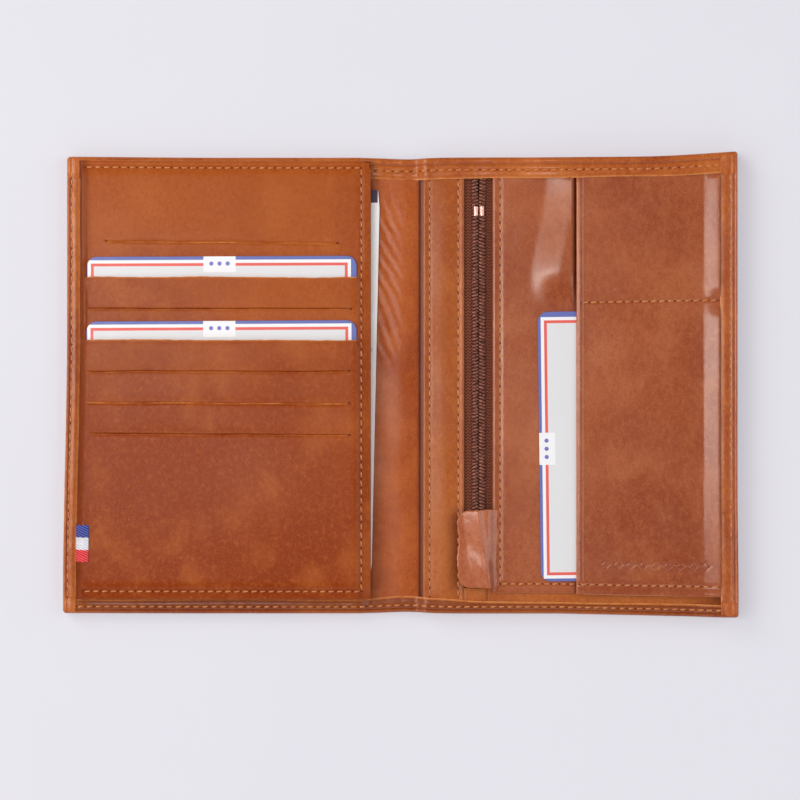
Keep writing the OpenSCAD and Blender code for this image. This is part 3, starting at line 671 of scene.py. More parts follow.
def hem_width(x, top_side):
    """How far the turned edge reaches in: cut by hand, wider at the spine and narrow at the lower right."""
    if top_side:
        return HEM_TOP + 0.18 * np.sin(x * 0.045 + 1.0) + 0.12 * np.sin(x * 0.16)
    return HEM_BOTTOM + 0.55 * hump((x + 1) / 9) - 0.75 * smooth((x - 12) / 14) + 0.14 * np.sin(x * 0.09)


def under_hem(surface):
    """The same surface, pressed down where it lies under the turned edges of the right side."""
    def pressed(x, y):
        z = surface(x, y)
        top_cover = y - (HALF_H - hem_width(x, True)) - 0.1
        low_cover = (-HALF_H + hem_width(x, False)) - 0.1 - y
        side_cover = x - (HALF_W - HEM_R) - 0.1
        for cover, level in ((top_cover, hem_level(x, 1, True)), (low_cover, hem_level(x, 1, False)),
                             (side_cover, SIDE_LEVEL[1])):
            z = np.where(cover > 0, np.minimum(z, level - HEM_T - 0.12), z)
        return z
    return pressed


def hem_profile(width, stitch, level, roll):
    """Cross-section of the turned edge, as (inset, height), from the underside round to the inside.
    roll is the width of the rounded outer band. A crease parts it from the flat band that holds the seam."""
    return [
        (5.4, 0.0), (stitch + 0.9, 0.0), (stitch + 0.45, 0.0), (stitch, 0.1), (stitch - 0.4, 0.0),
        (min(0.75, stitch - 0.6), 0.03), (0.40, 0.16), (0.14, 0.45), (0.0, 0.95), (0.0, level * 0.55),
        (0.04, level - 0.75), (0.2, level - 0.33), (0.45, level - 0.08), (roll * 0.5, level + 0.06),
        (roll * 0.8, level - 0.02), (roll, level - 0.3), (roll + 0.12, level - 0.36),
        (roll + 0.35, level - 0.16),
        (stitch - 0.42, level - 0.02), (stitch, level - 0.24), (stitch + 0.45, level - 0.02),
        (width - 0.75, level - 0.42), (width - 0.3, level - 0.48), (width - 0.06, level - 0.54),
        (width, level - 0.58),
        (width, level - HEM_T), (width - 0.6, level - HEM_T - 0.02), (1.3, level - HEM_T),
        (1.2, max(COVER_T, level - HEM_T - 0.6)), (1.25, COVER_T), (5.4, COVER_T),
    ]


def outer_leather(name, sign):
    """Half of the outer leather, from the middle of the spine to one side, with its hems."""
    side_w, side_s = (HEM_L, STITCH_L) if sign < 0 else (HEM_R, STITCH_R)
    side_level = SIDE_LEVEL[sign]
    inset, corner, turns = 5.4, 1.2, 6
    xs = grid(0, HALF_W - inset, 2.2, [FOLD, FOLD + 1.5, FOLD + 3, FOLD - 2, 28, 55], (0, 0.5, 1.1))
    ys = grid(-(HALF_H - inset), HALF_H - inset, 2.4, [], (0, 1.0))

    def unevenness(s, seed):
        return 0.05 * math.sin(s * 0.9 + seed) + 0.06 * math.sin(s * 0.23 + 2 * seed)

    def end_path(top_side, y_sign):
        """Sections along the top or bottom, then round the corner."""
        stitch, roll = (STITCH_TOP, 2.05) if top_side else (STITCH_BOTTOM, 1.1)
        path = []
        for x in xs:
            level = float(hem_level(sign * x, sign, top_side)) + unevenness(x, 1 + y_sign)
            width = float(hem_width(sign * x, top_side))
            path.append([(x, y_sign * (HALF_H - d), z) for d, z in hem_profile(width, stitch, level, roll)])
        level = float(hem_level(sign * HALF_W, sign, top_side))
        width = float(hem_width(sign * HALF_W, top_side))
        ends = hem_profile(width, stitch, level, roll)
        sides = hem_profile(side_w, side_s, side_level, 1.1)
        for k in range(1, turns):
            w = k / turns
            angle = w * math.pi / 2
            path.append([(HALF_W - ds - max(0.0, corner - ds) * (1 - math.sin(angle)),
                          y_sign * (HALF_H - dt - max(0.0, corner - dt) * (1 - math.cos(angle))),
                          zt * (1 - w) + zs * w) for (dt, zt), (ds, zs) in zip(ends, sides)])
        return path

    side = [[(HALF_W - d, y, z) for d, z in hem_profile(side_w, side_s, side_level + unevenness(y, 4), 1.1)]
            for y in ys[::-1]]
    path = end_path(True, 1) + side + end_path(False, -1)[::-1]
    verts = [(sign * p[0], p[1], p[2]) for section in path for p in section]
    shape = len(path), len(path[0])
    faces = grid_faces(*shape)
    for z in (0.0, COVER_T):
        faces += grid_faces(len(xs), len(ys), len(verts))
        verts += [(sign * x, y, z) for x in xs for y in ys]
    raw, dark = np.zeros(len(verts)), np.zeros(len(verts))
    # points of hem_profile, by number: 11-14 the roll, 15-16 the crease, 19 the seam, 22-25 the cut edge
    hem_raw, hem_dark = (values[:shape[0] * shape[1]].reshape(shape) for values in (raw, dark))
    hem_raw[:, 23:26] = 1.0
    hem_raw[:, 22] = 0.45
    # painted shade in the crease of the turned edge and in the dent of its seam
    hem_dark[:, 15:17] = 0.3
    hem_dark[:, 19] = 0.12
    # painted shade on the lower edge of the wallet, whose turned edge faces away from the light
    hem_dark[-len(xs):, 11:15] = 0.3
    hem_dark[-len(xs):, 15:22] = 0.55
    return make_object(name, verts, faces, MAT["outer"], {"raw": raw, "dark": dark}, merge=0.002, angle=50)


LEFT_BEND = ("left_cover", "spine", ((-FOLD - BEND) * MM, 0, 0), ((-FOLD + BEND) * MM, 0, 0))
RIGHT_BEND = ("spine", "right_cover", ((FOLD - BEND) * MM, 0, 0), ((FOLD + BEND) * MM, 0, 0))
for name, sign, nodes, bend in (("outer_leather_left", -1, ["cover_left", "cover_spine"], LEFT_BEND),
                                ("outer_leather_right", 1, ["cover_right"], RIGHT_BEND)):
    finish_piece(outer_leather(name, sign), nodes=nodes, blend=bend)


def hem_overlap(name, sign, top_side, reach):
    """Where two turned edges meet, the side one lies over the other: its end, as a thin raised leaf."""
    side_w = HEM_L if sign < 0 else HEM_R
    inner, outer = HALF_W - side_w, HALF_W - 0.35
    x0, x1 = sorted((sign * inner, sign * outer))
    y0, y1 = (HALF_H - reach, HALF_H - 0.3) if top_side else (-HALF_H + 0.3, -HALF_H + reach)
    stitch = STITCH_L if sign < 0 else STITCH_R

    def top(x, y):
        inset = np.minimum(HALF_W - np.abs(x), HALF_H - np.abs(y))
        dents = 0.2 * hump((HALF_W - np.abs(x) - stitch) / 0.4)
        slope = 0.2 * smooth((HALF_W - np.abs(x) - stitch) / (side_w - stitch))
        taper = 0.2 * smooth((np.abs(y) - (HALF_H - reach)) / 2.5 + 0.1)
        return SIDE_LEVEL[sign] + taper - 0.9 * smooth((1.0 - inset) / 1.0) ** 2 - dents - slope
    leaf = slab("hem_end_" + name, grid(x0, x1, 0.5), grid(y0, y1, 0.8), top, lambda x, y: top(x, y) - 0.75,
                MAT["outer"], 0.22, 0.05, raw_scale=0.35)
    finish_piece(leaf, "left_cover" if sign < 0 else "right_cover")


hem_overlap("top_left", -1, True, HEM_TOP + 0.3)
hem_overlap("top_right", 1, True, HEM_TOP + 0.6)
hem_overlap("low_left", -1, False, HEM_BOTTOM + 0.4)
hem_overlap("low_right", 1, False, HEM_BOTTOM + 0.4)


# ------------------------------------------------------------------ lining

def lining_top(x, y):
    """The lining rises a little along the spine, with slanting wrinkles beside the page."""
    crown = 0.2 * hump((x - 0.2) / 4.2)
    wrinkle_zone = hump((x + 5.5) / 4.2) * smooth((y - 2) / 16) * smooth((64 - y) / 12)
    slanting = np.sin((x * 1.25 + y * 0.62) * 1.5 + 1.6 * np.sin(y * 0.16))
    fine = np.sin((x * 0.8 + y * 0.9) * 2.6 + np.sin(y * 0.31) * 2)
    across = smooth((y - 50) / 6) * smooth((64 - y) / 4) * hump((x - 2.5) / 3.5)
    z = FLOOR + crown + wrinkle_zone * (0.06 * slanting + 0.035 * fine) + 0.07 * waves(x, y, 3, 14)
    return z + 0.12 * across - 0.35 * hump((x - 5.9) / 0.7)


def lining_shade(x, y):
    # painted shade in the gap beside the zip strip, and next to the page's edge
    beside_strip = smooth((x - 4.9) / 0.9) * smooth((8 - x) / 0.6)
    return 0.8 * beside_strip + 0.35 * smooth((-x - 8) / 5) * smooth((x + 16) / 2)


for name, coarse, fine, step, nodes, bend in (
        ("lining_left_side", (-HALF_W + 1.4, -16, 3.0), (-14.5, 0, 0.45), 0.8,
         ["lining_left", "lining_spine"], LEFT_BEND),
        ("lining_right_side", (11, HALF_W - 1.4, 3.0), (0, 9, 0.35), 1.5, ["lining_right"], RIGHT_BEND)):
    xs = np.sort(np.concatenate([grid(*coarse), grid(*fine)]))
    lining = slab(name, xs, grid(-INNER_Y, INNER_Y, step), lining_top, flat(COVER_T), MAT["lining"], 0, 0, 0,
                  lining_shade)
    finish_piece(lining, nodes=nodes, blend=bend)


# ------------------------------------------------------------------ document and its pocket

doc_pocket = slab("document_pocket_leather", grid(DOC_POCKET[0][0], DOC_POCKET[1][0], 3.0),
                  grid(-INNER_Y, INNER_Y, 3.0),
                  lambda x, y: DOC_POCKET[1][2] - 0.05 + 0.06 * waves(x, y, 11, 35),
                  flat(DOC_POCKET[1][2] - 0.6), MAT["lining"], 0.3, 0.15)
finish_piece(doc_pocket, "left_cover", ["document_pocket"])


def booklet():
    """A thin booklet: a cover over a few pages, slightly turned in its pocket."""
    w, h, t, turn = 88.0, 125.4, DOC[1][2] - DOC[0][2], math.radians(-DOC_TURN)
    cx, cy = (DOC[0][0] + DOC[1][0]) / 2, (DOC[0][1] + DOC[1][1]) / 2 + 1.5
    leaves = []
    for inset, low, high in ((0.0, 0.27, 0.36), (0.35, 0.37, 0.47), (0.0, 0.48, t)):
        xs = grid(-w / 2, w / 2 - inset, 6, [], (0, 0.1))
        ys = grid(-h / 2 + inset, h / 2 - inset, 6, [], (0, 0.1))
        leaves.append(slab_data(xs, ys, flat(high), flat(low), 0.04, 0.03, corner=2.0))
    v, faces, _ = joined(leaves)
    x = v[:, 0] * math.cos(turn) - v[:, 1] * math.sin(turn) + cx
    y = v[:, 0] * math.sin(turn) + v[:, 1] * math.cos(turn) + cy
    verts = np.stack([x, y, v[:, 2] + DOC[0][2]], -1)
    return make_object("booklet", verts, faces, paper_material(), bent=False)


finish_piece(booklet(), "papers", ["document"])


# ------------------------------------------------------------------ card page

SLOT_X = (-100.15, -14.05)
SHORT_X = (-94.2, -20.2)
PAGE_L, PAGE_R = PAGE_BACK[0][0], PAGE_BACK[1][0]
PAGE_BOTTOM, PAGE_TOP = PAGE_BACK[0][1], PAGE_BACK[1][1]
SEAM_X, SEAM_HI = PAGE_SEAM[1][0] - SEAM_HALF, PAGE_SEAM[1][1] - SEAM_HALF
SEAM_LO = PAGE_SEAM[0][1] + SEAM_HALF
# each empty slit: its number, its ends, how deep its gap is and how full and pale its lower lip
EMPTY = [(0, SHORT_X, 0.2, 1.0), (2, (SLOT_X[0], -15.9), 0.55, 0.45), (4, (SLOT_X[0], -16.4), 0.4, 0.45),
         (5, (SLOT_X[0] + 0.2, -16.4), 0.18, 1.0), (6, (SLOT_X[0] + 1.5, -16.4), 0.38, 0.45)]


def slit_wander(x, k):
    """How far slit k strays from its straight line."""
    return 0.13 * waves(x, 0 * x, 31 + k, 34, 4) + (0.55 * (0.5 - (x + 100) / 86) if k in (0, 5, 6) else 0)


def page_level(y, sharp):
    """Height of the page's face: sharp steps at the two slits in use, or the slope of its sewn sides."""
    level = np.full_like(np.asarray(y, float), LEVELS[2])
    for slit, upper, lower in ((SLITS[3], LEVELS[1], LEVELS[2]), (SLITS[1], LEVELS[0], LEVELS[1])):
        t = (np.asarray(y) > slit).astype(float) if sharp else smooth((np.asarray(y) - slit + 6) / 12)
        level = level * (1 - t) + upper * t
    return level


def page_top(x, y, band=None):
    """Top of the page's front leather. band fixes the level on a slit's line: 0 above, 1 between, 2 below."""
    x, y = np.asarray(x, float), np.asarray(y, float)
    inside = smooth((x - SLOT_X[0] + 0.5) / 1.0) * smooth((SLOT_X[1] + 0.7 - x) / 1.4)
    level = page_level(y, True) if band is None else np.full_like(y, LEVELS[band])
    z = inside * level + (1 - inside) * page_level(y, False)
    # sewn edges are pressed flat; the middle of each band is a little full
    z = z - 1.35 * smooth((x - SLOT_X[1] + 1.2) / 4.6) * smooth((z - 4.6) / 2.0)
    z = z - 1.5 * smooth((PAGE_BOTTOM + 5.0 - y) / 4.6)
    z = z - 0.36 * smooth((y - PAGE_TOP + 4.6) / 3) + 0.13 * waves(x, y, 21, 42) * inside
    # each empty slit is a narrow gap above a full lower lip
    for k, ends, gap, lip in EMPTY:
        along = smooth((x - ends[0]) / 2.0) * smooth((ends[1] - x) / 2.0)
        d = y - SLITS[k] - slit_wander(x, k)
        z = z - along * (gap * hump((d - 0.02) / 0.12) - 0.16 * lip * hump((d + 0.3) / 0.3)
                         + 0.03 * hump((d - 0.8) / 0.7))
    # lips of the two slits in use curl up slightly
    for k in (1, 3):
        d = SLITS[k] - y
        z = z + 0.05 * hump((d - 0.5) / 0.7) * (d >= -1e-6) * inside
    # grooves that the seams lie in
    groove = hump((x - SEAM_X) / 0.55) * smooth((SEAM_HI + 0.4 - y) / 0.4) * smooth((y - SEAM_LO + 0.4) / 0.4)
    for line in (SEAM_HI, SEAM_LO):
        groove = np.maximum(groove, hump((y - line) / 0.55) * smooth((SEAM_X + 0.4 - x) / 0.4))
    z = z - 0.26 * groove
    # the page leans out of the left hem; the logarithm rounds the bend where the two surfaces meet
    lean = 4.38 + np.maximum(0, x - PAGE_L) / 0.6
    return -np.log(np.exp(-z * 4) + np.exp(-lean * 4)) / 4


def page_raw(x, y, z):
    raw = np.zeros_like(x)
    for k, ends, gap, lip in EMPTY:
        along = smooth((x - ends[0]) / 1.0) * smooth((ends[1] - x) / 1.0)
        d = y - SLITS[k] - slit_wander(x, k)
        wavering = 0.5 + 0.6 * waves(x, 0 * x, 61 + k, 12, 4)
        raw = np.maximum(raw, along * lip * np.clip(wavering, 0, 1) * hump((d + 0.17) / 0.2))
    return raw * (z > 4.6)


def page_band(y0, y1, band, marks):
    """One band of the page's front, from one slit in use to the next, as (verts, faces, raw)."""
    xs = grid(PAGE_L, PAGE_R, 1.1, [SLOT_X[0], SLOT_X[0] + 0.5, SLOT_X[1], SEAM_X])
    ys = grid(y0, y1, 1.1, marks, (0, 0.08, 0.16, 0.26, 0.36, 0.5, 0.7, 1.0, 1.5))

    def underside(x, y):
        inside = smooth((x - SLOT_X[0]) / 0.8) * smooth((SLOT_X[1] + 0.6 - x) / 0.8)
        inside = inside * (smooth((y - PAGE_BOTTOM - 3.0) / 0.8) if band == 2 else 1)
        return inside * (LEVELS[band] - PAGE_T) + (1 - inside) * PAGE_BACK[1][2]
    verts, faces, _ = slab_data(xs, ys, lambda x, y: page_top(x, y, band), underside, 0.0, 0.0)
    # round only the page's own outer edges
    x, y, z = verts[:, 0], verts[:, 1], verts[:, 2]
    outer = np.minimum(PAGE_R - x, PAGE_TOP - y if band == 0 else 99)
    outer = np.minimum(outer, y - PAGE_BOTTOM if band == 2 else 99)
    t = np.clip(outer / 0.7, 0, 1)
    half = len(verts) // 2
    z[:half] -= 0.7 * (1 - np.sqrt(1 - (1 - t[:half]) ** 2)) * 0.8
    raw = np.maximum(page_raw(x, y, z), np.clip(1 - outer / 0.2, 0, 1) * 0.35)
    if band:
        # the upper edge is the cut lip of a slit in use, pale and not quite straight
        inside = smooth((x - SLOT_X[0]) / 0.5) * smooth((SLOT_X[1] - x) / 0.5)
        raw = np.maximum(raw, inside * np.clip(1.1 - (y1 - y) / 0.42, 0, 1))
        near = np.clip(1 - (y1 - y) / 1.2, 0, 1) * smooth((x - SLOT_X[0]) / 2) * smooth((SLOT_X[1] - x) / 2)
        y += near * (0.16 * waves(x, 0 * x, 81 + band, 30, 4) + 0.07 * waves(x, 0 * x, 91 + band, 5, 4)
                     + 0.3 * (0.5 - (x + 100) / 86))
    return verts, faces, raw


def page_front():
    def shade(x, y):
        """Painted shade where the page dips to the left hem, and a soft dark patch near it."""
        valley = smooth((-97.6 - x) / 3.4) * 0.38 + 0.25 * smooth((-100.2 - x) / 1.6)
        return valley + 0.1 * hump((y - 8) / 14) * hump((x + 90) / 14)
    verts, faces, raw = joined([page_band(SLITS[1], PAGE_TOP, 0, [SLITS[0], SEAM_HI]),
                                page_band(SLITS[3], SLITS[1], 1, [SLITS[2]]),
                                page_band(PAGE_BOTTOM, SLITS[3], 2, SLITS[4:] + [SEAM_LO])])
    attributes = {"raw": raw, "dark": np.clip(shade(verts[:, 0], verts[:, 1]), 0, 1)}
    return make_object("page_front_leather", verts, faces, MAT["page"], attributes, angle=50)


finish_piece(page_front(), "card_page", ["page_front"])

page_back = slab("page_back_leather", grid(PAGE_L + 0.9, PAGE_R, 2.2, [SEAM_X]),
                 grid(PAGE_BOTTOM, PAGE_TOP, 2.2, [SEAM_LO, SEAM_HI]), flat(PAGE_BACK[1][2]),
                 lambda x, y: PAGE_BACK[0][2] + 0.05 + 0.05 * waves(x, y, 41, 30), MAT["lining"], 0.02, 0.3)
finish_piece(page_back, "card_page", ["page_back"])


def page_tongue():
    """The strip that the page turns on: from under the left hem to the page's back."""
    xs = grid(-105.4, -98.5, 0.35, [], (0, 0.15))

    def middle(x, y):
        return 3.55 + 0.7 * smooth((x + 103.2) / 3.0)
    return slab("page_hinge_leather", xs, grid(-INNER_Y + 3.2, INNER_Y - 5.4, 3.0),
                lambda x, y: middle(x, y) + 0.27, lambda x, y: middle(x, y) - 0.27, MAT["lining"], 0.2, 0.2)


finish_piece(page_tongue(), nodes=["page_hinge_strip"],
             blend=("left_cover", "card_page", (-103.4 * MM, 0, 0), (-101.2 * MM, 0, 0)))

threads = Threads()
for height, side in ((page_top, 1), (flat(PAGE_BACK[0][2] + 0.05), -1)):
    threads.row((PAGE_L + 1.6, SEAM_HI), (SEAM_X, SEAM_HI), height, side)
    threads.row((SEAM_X, SEAM_HI), (SEAM_X, SEAM_LO), height, side)
    threads.row((PAGE_L + 2.4, SEAM_LO), (SEAM_X, SEAM_LO), height, side)
threads.build("page_stitches", "card_page", ["page_seam"])


def slit_ends():
    """Punched holes at the ends of the empty slits, as dark discs of painted shadow."""
    verts, faces, count = [], [], 12
    for k, ends, _, _ in EMPTY:
        for x in (ends[0] + 0.3, ends[1] - 0.3):
            # of the left ends, only the upper slit's shows
            if k and x < -50:
                continue
            base = len(verts)
            faces += disc_faces(base, count)
            y = SLITS[k] + float(slit_wander(np.array(x), k))
            z = float(page_top(np.array(x + 0.8), np.array(y + 0.9))) + 0.04
            verts.append((x, y, z + 0.02))
            verts += [(x + 0.5 * math.cos(a), y + 0.4 * math.sin(a), z)
                      for a in np.linspace(0, 2 * math.pi, count + 1)[:-1]]
            verts += [(v[0], v[1], v[2] - 0.3) for v in verts[base:]]
    return make_object("slit_end_holes", verts, faces, MAT["hole"])


finish_piece(slit_ends(), "card_page")


# ------------------------------------------------------------------ woven tag

def woven_tag():
    """A short doubled ribbon that comes from under the left hem and lies on the page."""
    xs = grid(-102.45, -98.1, 0.3)
    ys = grid(TAG[0][1], TAG[1][1], 0.35)

    def top(x, y):
        rest = page_top(np.maximum(x, PAGE_L + 0.5), y) + 0.25
        climb = 4.3 + (rest - 4.3) * smooth((x + 102.4) / 0.9)
        ribs = 0.035 * np.sin(x * 3.6 + y * 8.2)
        return climb + ribs + 0.1 * hump((x + 98.4) / 0.4)
    return slab("ribbon_tag", xs, ys, top, lambda x, y: top(x, y) - 0.22, tag_material(TAG[0][1], TAG[1][1]),
                0.1, 0.05)


finish_piece(woven_tag(), "card_page", ["woven_tag"])


# ------------------------------------------------------------------ cards

CARD_W, CARD_H = 85.6, 54.0     # an ID-1 card


def card(name, box, borders, body, node, turn=0.0, tall=False, shift=(0, 0, 0)):
    low, high = box
    w, h, t = CARD_W, CARD_H, high[2] - low[2]
    xs, ys = (grid(-side / 2, side / 2, 4, [], (0, 0.1, 0.25, 0.6, 1.2, 1.9, 2.6, 3.2)) for side in (w, h))
    verts, faces, _ = slab_data(xs, ys, flat(t / 2), flat(-t / 2), 0.1, 0.1, corner=3.2)
    obj = make_object(name, verts, faces, card_material(name + "_print", (w / 2, h / 2), borders), bent=False)
    obj.location = Vector(((low + high) / 2 + np.array(shift)) * MM)
    obj.rotation_euler = (0, 0, math.radians(turn + (90 if tall else 0)))
    finish_piece(obj, body, [node])


card("upper_slot_card", CARD_UP, (0.25, 1.8, 0.9, 1.1), "upper_card", "card_upper", 0.25)
card("lower_slot_card", CARD_LOW, (0.25, 1.6, 0.9, 1.0), "lower_card", "card_lower", 0.3)
card("side_pocket_card", CARD_SIDE, (0.9, 1.7, 0.9, 0.9), "end_card", "side_card", 0.7, True, (-0.4, 0.1, 0))


# ------------------------------------------------------------------ right side: strip, panel and side pocket

SEAM_A, SEAM_B = STRIP_SEAM[0][0] + SEAM_HALF, STRIP_SEAM[1][0] - SEAM_HALF
PANEL_X, PANEL_Y = PANEL_SEAM[0][0] + SEAM_HALF, PANEL_SEAM[0][1] + SEAM_HALF
DIVIDER_Y = POCKET_SEAM[1][1] - SEAM_HALF
RIGHT_TOP = HALF_H - 2.2


def strip_top(x, y):
    z = STRIP[1][2] + 0.10 * waves(x, y, 51, 30) + 0.16 * hump((x - 13.4) / 3.2)
    z = z + 0.14 * hump((x - 7.4) / 0.8) + 0.10 * hump((x - 19.2) / 0.7)
    return z - 0.13 * hump((x - SEAM_A) / 0.5) - 0.13 * hump((x - SEAM_B) / 0.5)


def strip_shade(x, y):
    """Painted shadow where the flap's free edge lies."""
    beside_flap = smooth((y - FLAP[0][1] + 3) / 4) * smooth((FLAP[1][1] + 2 - y) / 5)
    return 0.55 * beside_flap * smooth((x - 13.6) / 3.4)


strip = slab("zip_strip_leather", grid(STRIP[0][0], 19.8, 0.8, [7.4, SEAM_A, SEAM_B, 19.3]),
             grid(-INNER_Y + 2.0, RIGHT_TOP, 1.4), under_hem(strip_top),
             lambda x, y: STRIP[0][2] - 0.5 * smooth((8.0 - x) / 0.6), MAT["strip"],
             0.5, 0.15, 0.5, strip_shade)
finish_piece(strip, "right_cover", ["zip_strip"])

# the foot below the zip, in two parts that meet in an open joint under the flap
for name, x0, x1, end in (("zip_foot_left", 19.75, 27.0, -64.4), ("zip_foot_right", 27.25, 33.0, -64.5)):
    foot = slab(name, grid(x0, x1, 0.8), grid(-INNER_Y + 2.0, end, 0.8),
                under_hem(lambda x, y: STRIP[1][2] - 0.06 + 0.04 * waves(x, y, 52, 9)), flat(STRIP[0][2]),
                MAT["strip"], 0.3, 0.1)
    finish_piece(foot, "right_cover")


def panel_top(x, y):
    """Panel right of the zip: flat beside its seam, lifted towards the side pocket above its card."""
    z = PANEL[1][2] - 0.05 + 0.07 * waves(x, y, 53, 34)
    upper = smooth((y - 24.2) / 13)
    start = 45.2 - 4.8 * smooth((64 - y) / 34)
    z = z + 1.75 * upper * smooth((x - start) / 9.6) * (1 - 0.9 * smooth((x - 53.9) / 1.3))
    z = z + 0.08 * hump((x - 29.6) / 0.6)
    z = z - 0.12 * hump((x - PANEL_X) / 0.55) * smooth((y - PANEL_Y + 0.6) / 0.6)
    z = z - 0.24 * hump((y - PANEL_Y) / 0.5) * smooth((x - PANEL_X + 0.6) / 0.6)
    return z


def panel_shade(x, y):
    """Painted shade in the gap before the side pocket's folded edge."""
    return 0.75 * smooth((x - 54.2) / 0.8) * smooth((57 - x) / 1.0)


panel = slab("side_panel_leather", grid(28.8, 104.6, 1.0, [29.6, PANEL_X, 55.8]),
             grid(PANEL[0][1], RIGHT_TOP, 1.1, [PANEL_Y]), under_hem(panel_top), flat(PANEL[0][2]),
             MAT["panel"], 0.5, 0.1, 0.5, panel_shade)
finish_piece(panel, "right_cover", ["side_panel"])


TOOLED, TOOLED_Y, LOZENGE = (62.4, 98.4), -56.6, 4.0


def tooling(x, y):
    """A row of small lozenges pressed blind into the leather, between 0 and 1."""
    along = np.abs((x - TOOLED[0]) % LOZENGE - LOZENGE / 2) / (LOZENGE / 2)
    d = along + np.abs(y - TOOLED_Y) / 1.7
    ring = smooth((1.0 - d) / 0.25) * (1 - smooth((0.62 - d) / 0.25))
    return ring * (x > TOOLED[0]) * (x < TOOLED[1])


def pocket_top(x, y):
    """Side pocket: folded front edge, a full middle, and a rise at the right that catches the light."""
    z = POCKET[1][2] + 0.10 * waves(x, y, 57, 38)
    fold = smooth((57.7 - x) / 0.5)
    z = z + 0.20 * fold + 0.12 * hump((x - 56.6) / 0.9)
    z = z + 0.14 * hump((x - 74) / 15) * smooth(np.abs(y - DIVIDER_Y) / 7)
    z = z - 0.2 * hump((x - 93.5) / 5)
    z = z + 0.95 * smooth((x - 95.4) / 5.4) * (0.35 + 0.65 * smooth(np.abs(y - DIVIDER_Y) / 5))
    z = z - 0.30 * hump((y - DIVIDER_Y - 0.017 * (x - 78)) / 0.55) * smooth((x - 57) / 1.5)
    z = z - 0.26 * hump((y - PANEL_Y) / 0.5)
    z = z - 0.5 * smooth((PANEL_Y + 0.6 - y) / 2.6) - 0.2 * tooling(x, y)
    return z


# the pocket's grid is finer where the lozenges are
pocket_xs = np.union1d(grid(55.3, 104.6, 1.0, [56.4, 57.6, 100.9]),
                       np.arange(TOOLED[0], TOOLED[1] + 0.1, 0.25))
pocket_ys = np.union1d(grid(POCKET[0][1], RIGHT_TOP, 1.0,
                            [PANEL_Y, DIVIDER_Y - 0.4, DIVIDER_Y, DIVIDER_Y + 0.4]),
                       np.linspace(TOOLED_Y - 2.2, TOOLED_Y + 2.2, 23))
pocket = slab("side_pocket_leather", pocket_xs, pocket_ys, under_hem(pocket_top),
              lambda x, y: np.where(x > 101.5, PANEL[1][2], POCKET[1][2] - 0.7), MAT["panel"], 0.5, 0.2, 0.5)
finish_piece(pocket, "right_cover", ["side_pocket"])

threads = Threads()
for x in (SEAM_A, SEAM_B):
    threads.row((x, HALF_H - HEM_TOP - 0.5), (x, -HALF_H + HEM_BOTTOM + 0.6), strip_top)
threads.build("zip_strip_stitches", "right_cover", ["zip_strip_seam"])

threads = Threads()
threads.row((PANEL_X, HALF_H - HEM_TOP - 0.5), (PANEL_X, PANEL_Y), panel_top)
threads.row((PANEL_X, PANEL_Y), (55.4, PANEL_Y), panel_top)
threads.build("side_panel_stitches", "right_cover", ["side_panel_seam"])

threads = Threads()
threads.row((56.3, PANEL_Y), (100.4, PANEL_Y), pocket_top)
threads.row((56.8, DIVIDER_Y - 0.36), (100.2, DIVIDER_Y + 0.38), pocket_top)
threads.build("side_pocket_stitches", "right_cover", ["side_pocket_seam"])


# ------------------------------------------------------------------ stitches round the cover

def hem_surface(sign, top_side):
    return lambda x, y: hem_level(x, sign, top_side) - HEM_DENT


def cover_stitches(name, sign, nodes, blend):
    """The seam round one half of the cover, above and below, from the spine outwards."""
    seam = Threads()
    x, level = (-HALF_W + STITCH_L, 4.6) if sign < 0 else (HALF_W - STITCH_R, 6.5)
    hi, lo = HALF_H - STITCH_TOP, -HALF_H + STITCH_BOTTOM
    for start, end, surface in (((sign * 0.2, hi), (x, hi), hem_surface(sign, True)),
                                ((sign * 0.2, lo), (x, lo), hem_surface(sign, False)),
                                ((x, hi), (x, lo), flat(level - HEM_DENT))):
        seam.row(start, end, surface)
        seam.row(start, end, flat(UNDER_SEAM), side=-1)
    seam.build(name, nodes=nodes, blend=blend)


cover_stitches("cover_stitches_left", -1, ["cover_seam_left", "cover_seam_spine"], LEFT_BEND)
cover_stitches("cover_stitches_right", 1, ["cover_seam_right"], RIGHT_BEND)


# ------------------------------------------------------------------ zip

ZIP_X = (STOP[0][0] + STOP[1][0]) / 2
COIL_PITCH = 1.07               # from one turn of the coil to the next
COIL_TOP = HALF_H - HEM_TOP + 0.6


def coil_row(name, side):
    """One wound row: a flattened spiral of nylon, from below the slider to the hem."""
    y0, y1 = COIL[0][1], COIL_TOP
    per_turn, sides, radius = 14, 7, 0.30
    turns = (y1 - y0) / COIL_PITCH
    steps = int(turns * per_turn)
    t = np.arange(steps + 1) / per_turn
    y = y0 + t * COIL_PITCH + (0.5 * COIL_PITCH if side > 0 else 0)
    apart = 0.15 * smooth((y - STOP[1][1]) / 6)
    a = 2 * math.pi * t
    x = side * (1.04 + apart + 0.84 * np.cos(a))
    z = COIL[0][2] + 0.46 + 0.34 * np.sin(a)
    path = np.stack([ZIP_X + x, y, z], -1)
    tangent = np.gradient(path, axis=0)
    tangent /= np.linalg.norm(tangent, axis=1)[:, None]
    up = np.array([0.0, 1.0, 0.0])
    b1 = np.cross(tangent, up)
    b1 /= np.linalg.norm(b1, axis=1)[:, None]
    b2 = np.cross(tangent, b1)
    ring = 2 * math.pi * np.arange(sides) / sides
    around = (np.cos(ring)[None, :, None] * b1[:, None, :]
              + 1.15 * np.sin(ring)[None, :, None] * b2[:, None, :])
    verts = (path[:, None, :] + radius * around).reshape(-1, 3)
    return make_object(name, verts, tube_faces(steps + 1, sides), MAT["nylon"], angle=80)


finish_piece(coil_row("zip_coil_row_left", -1), "right_cover", ["zip_coil_left"])
finish_piece(coil_row("zip_coil_row_right", 1), "right_cover", ["zip_coil_right"])


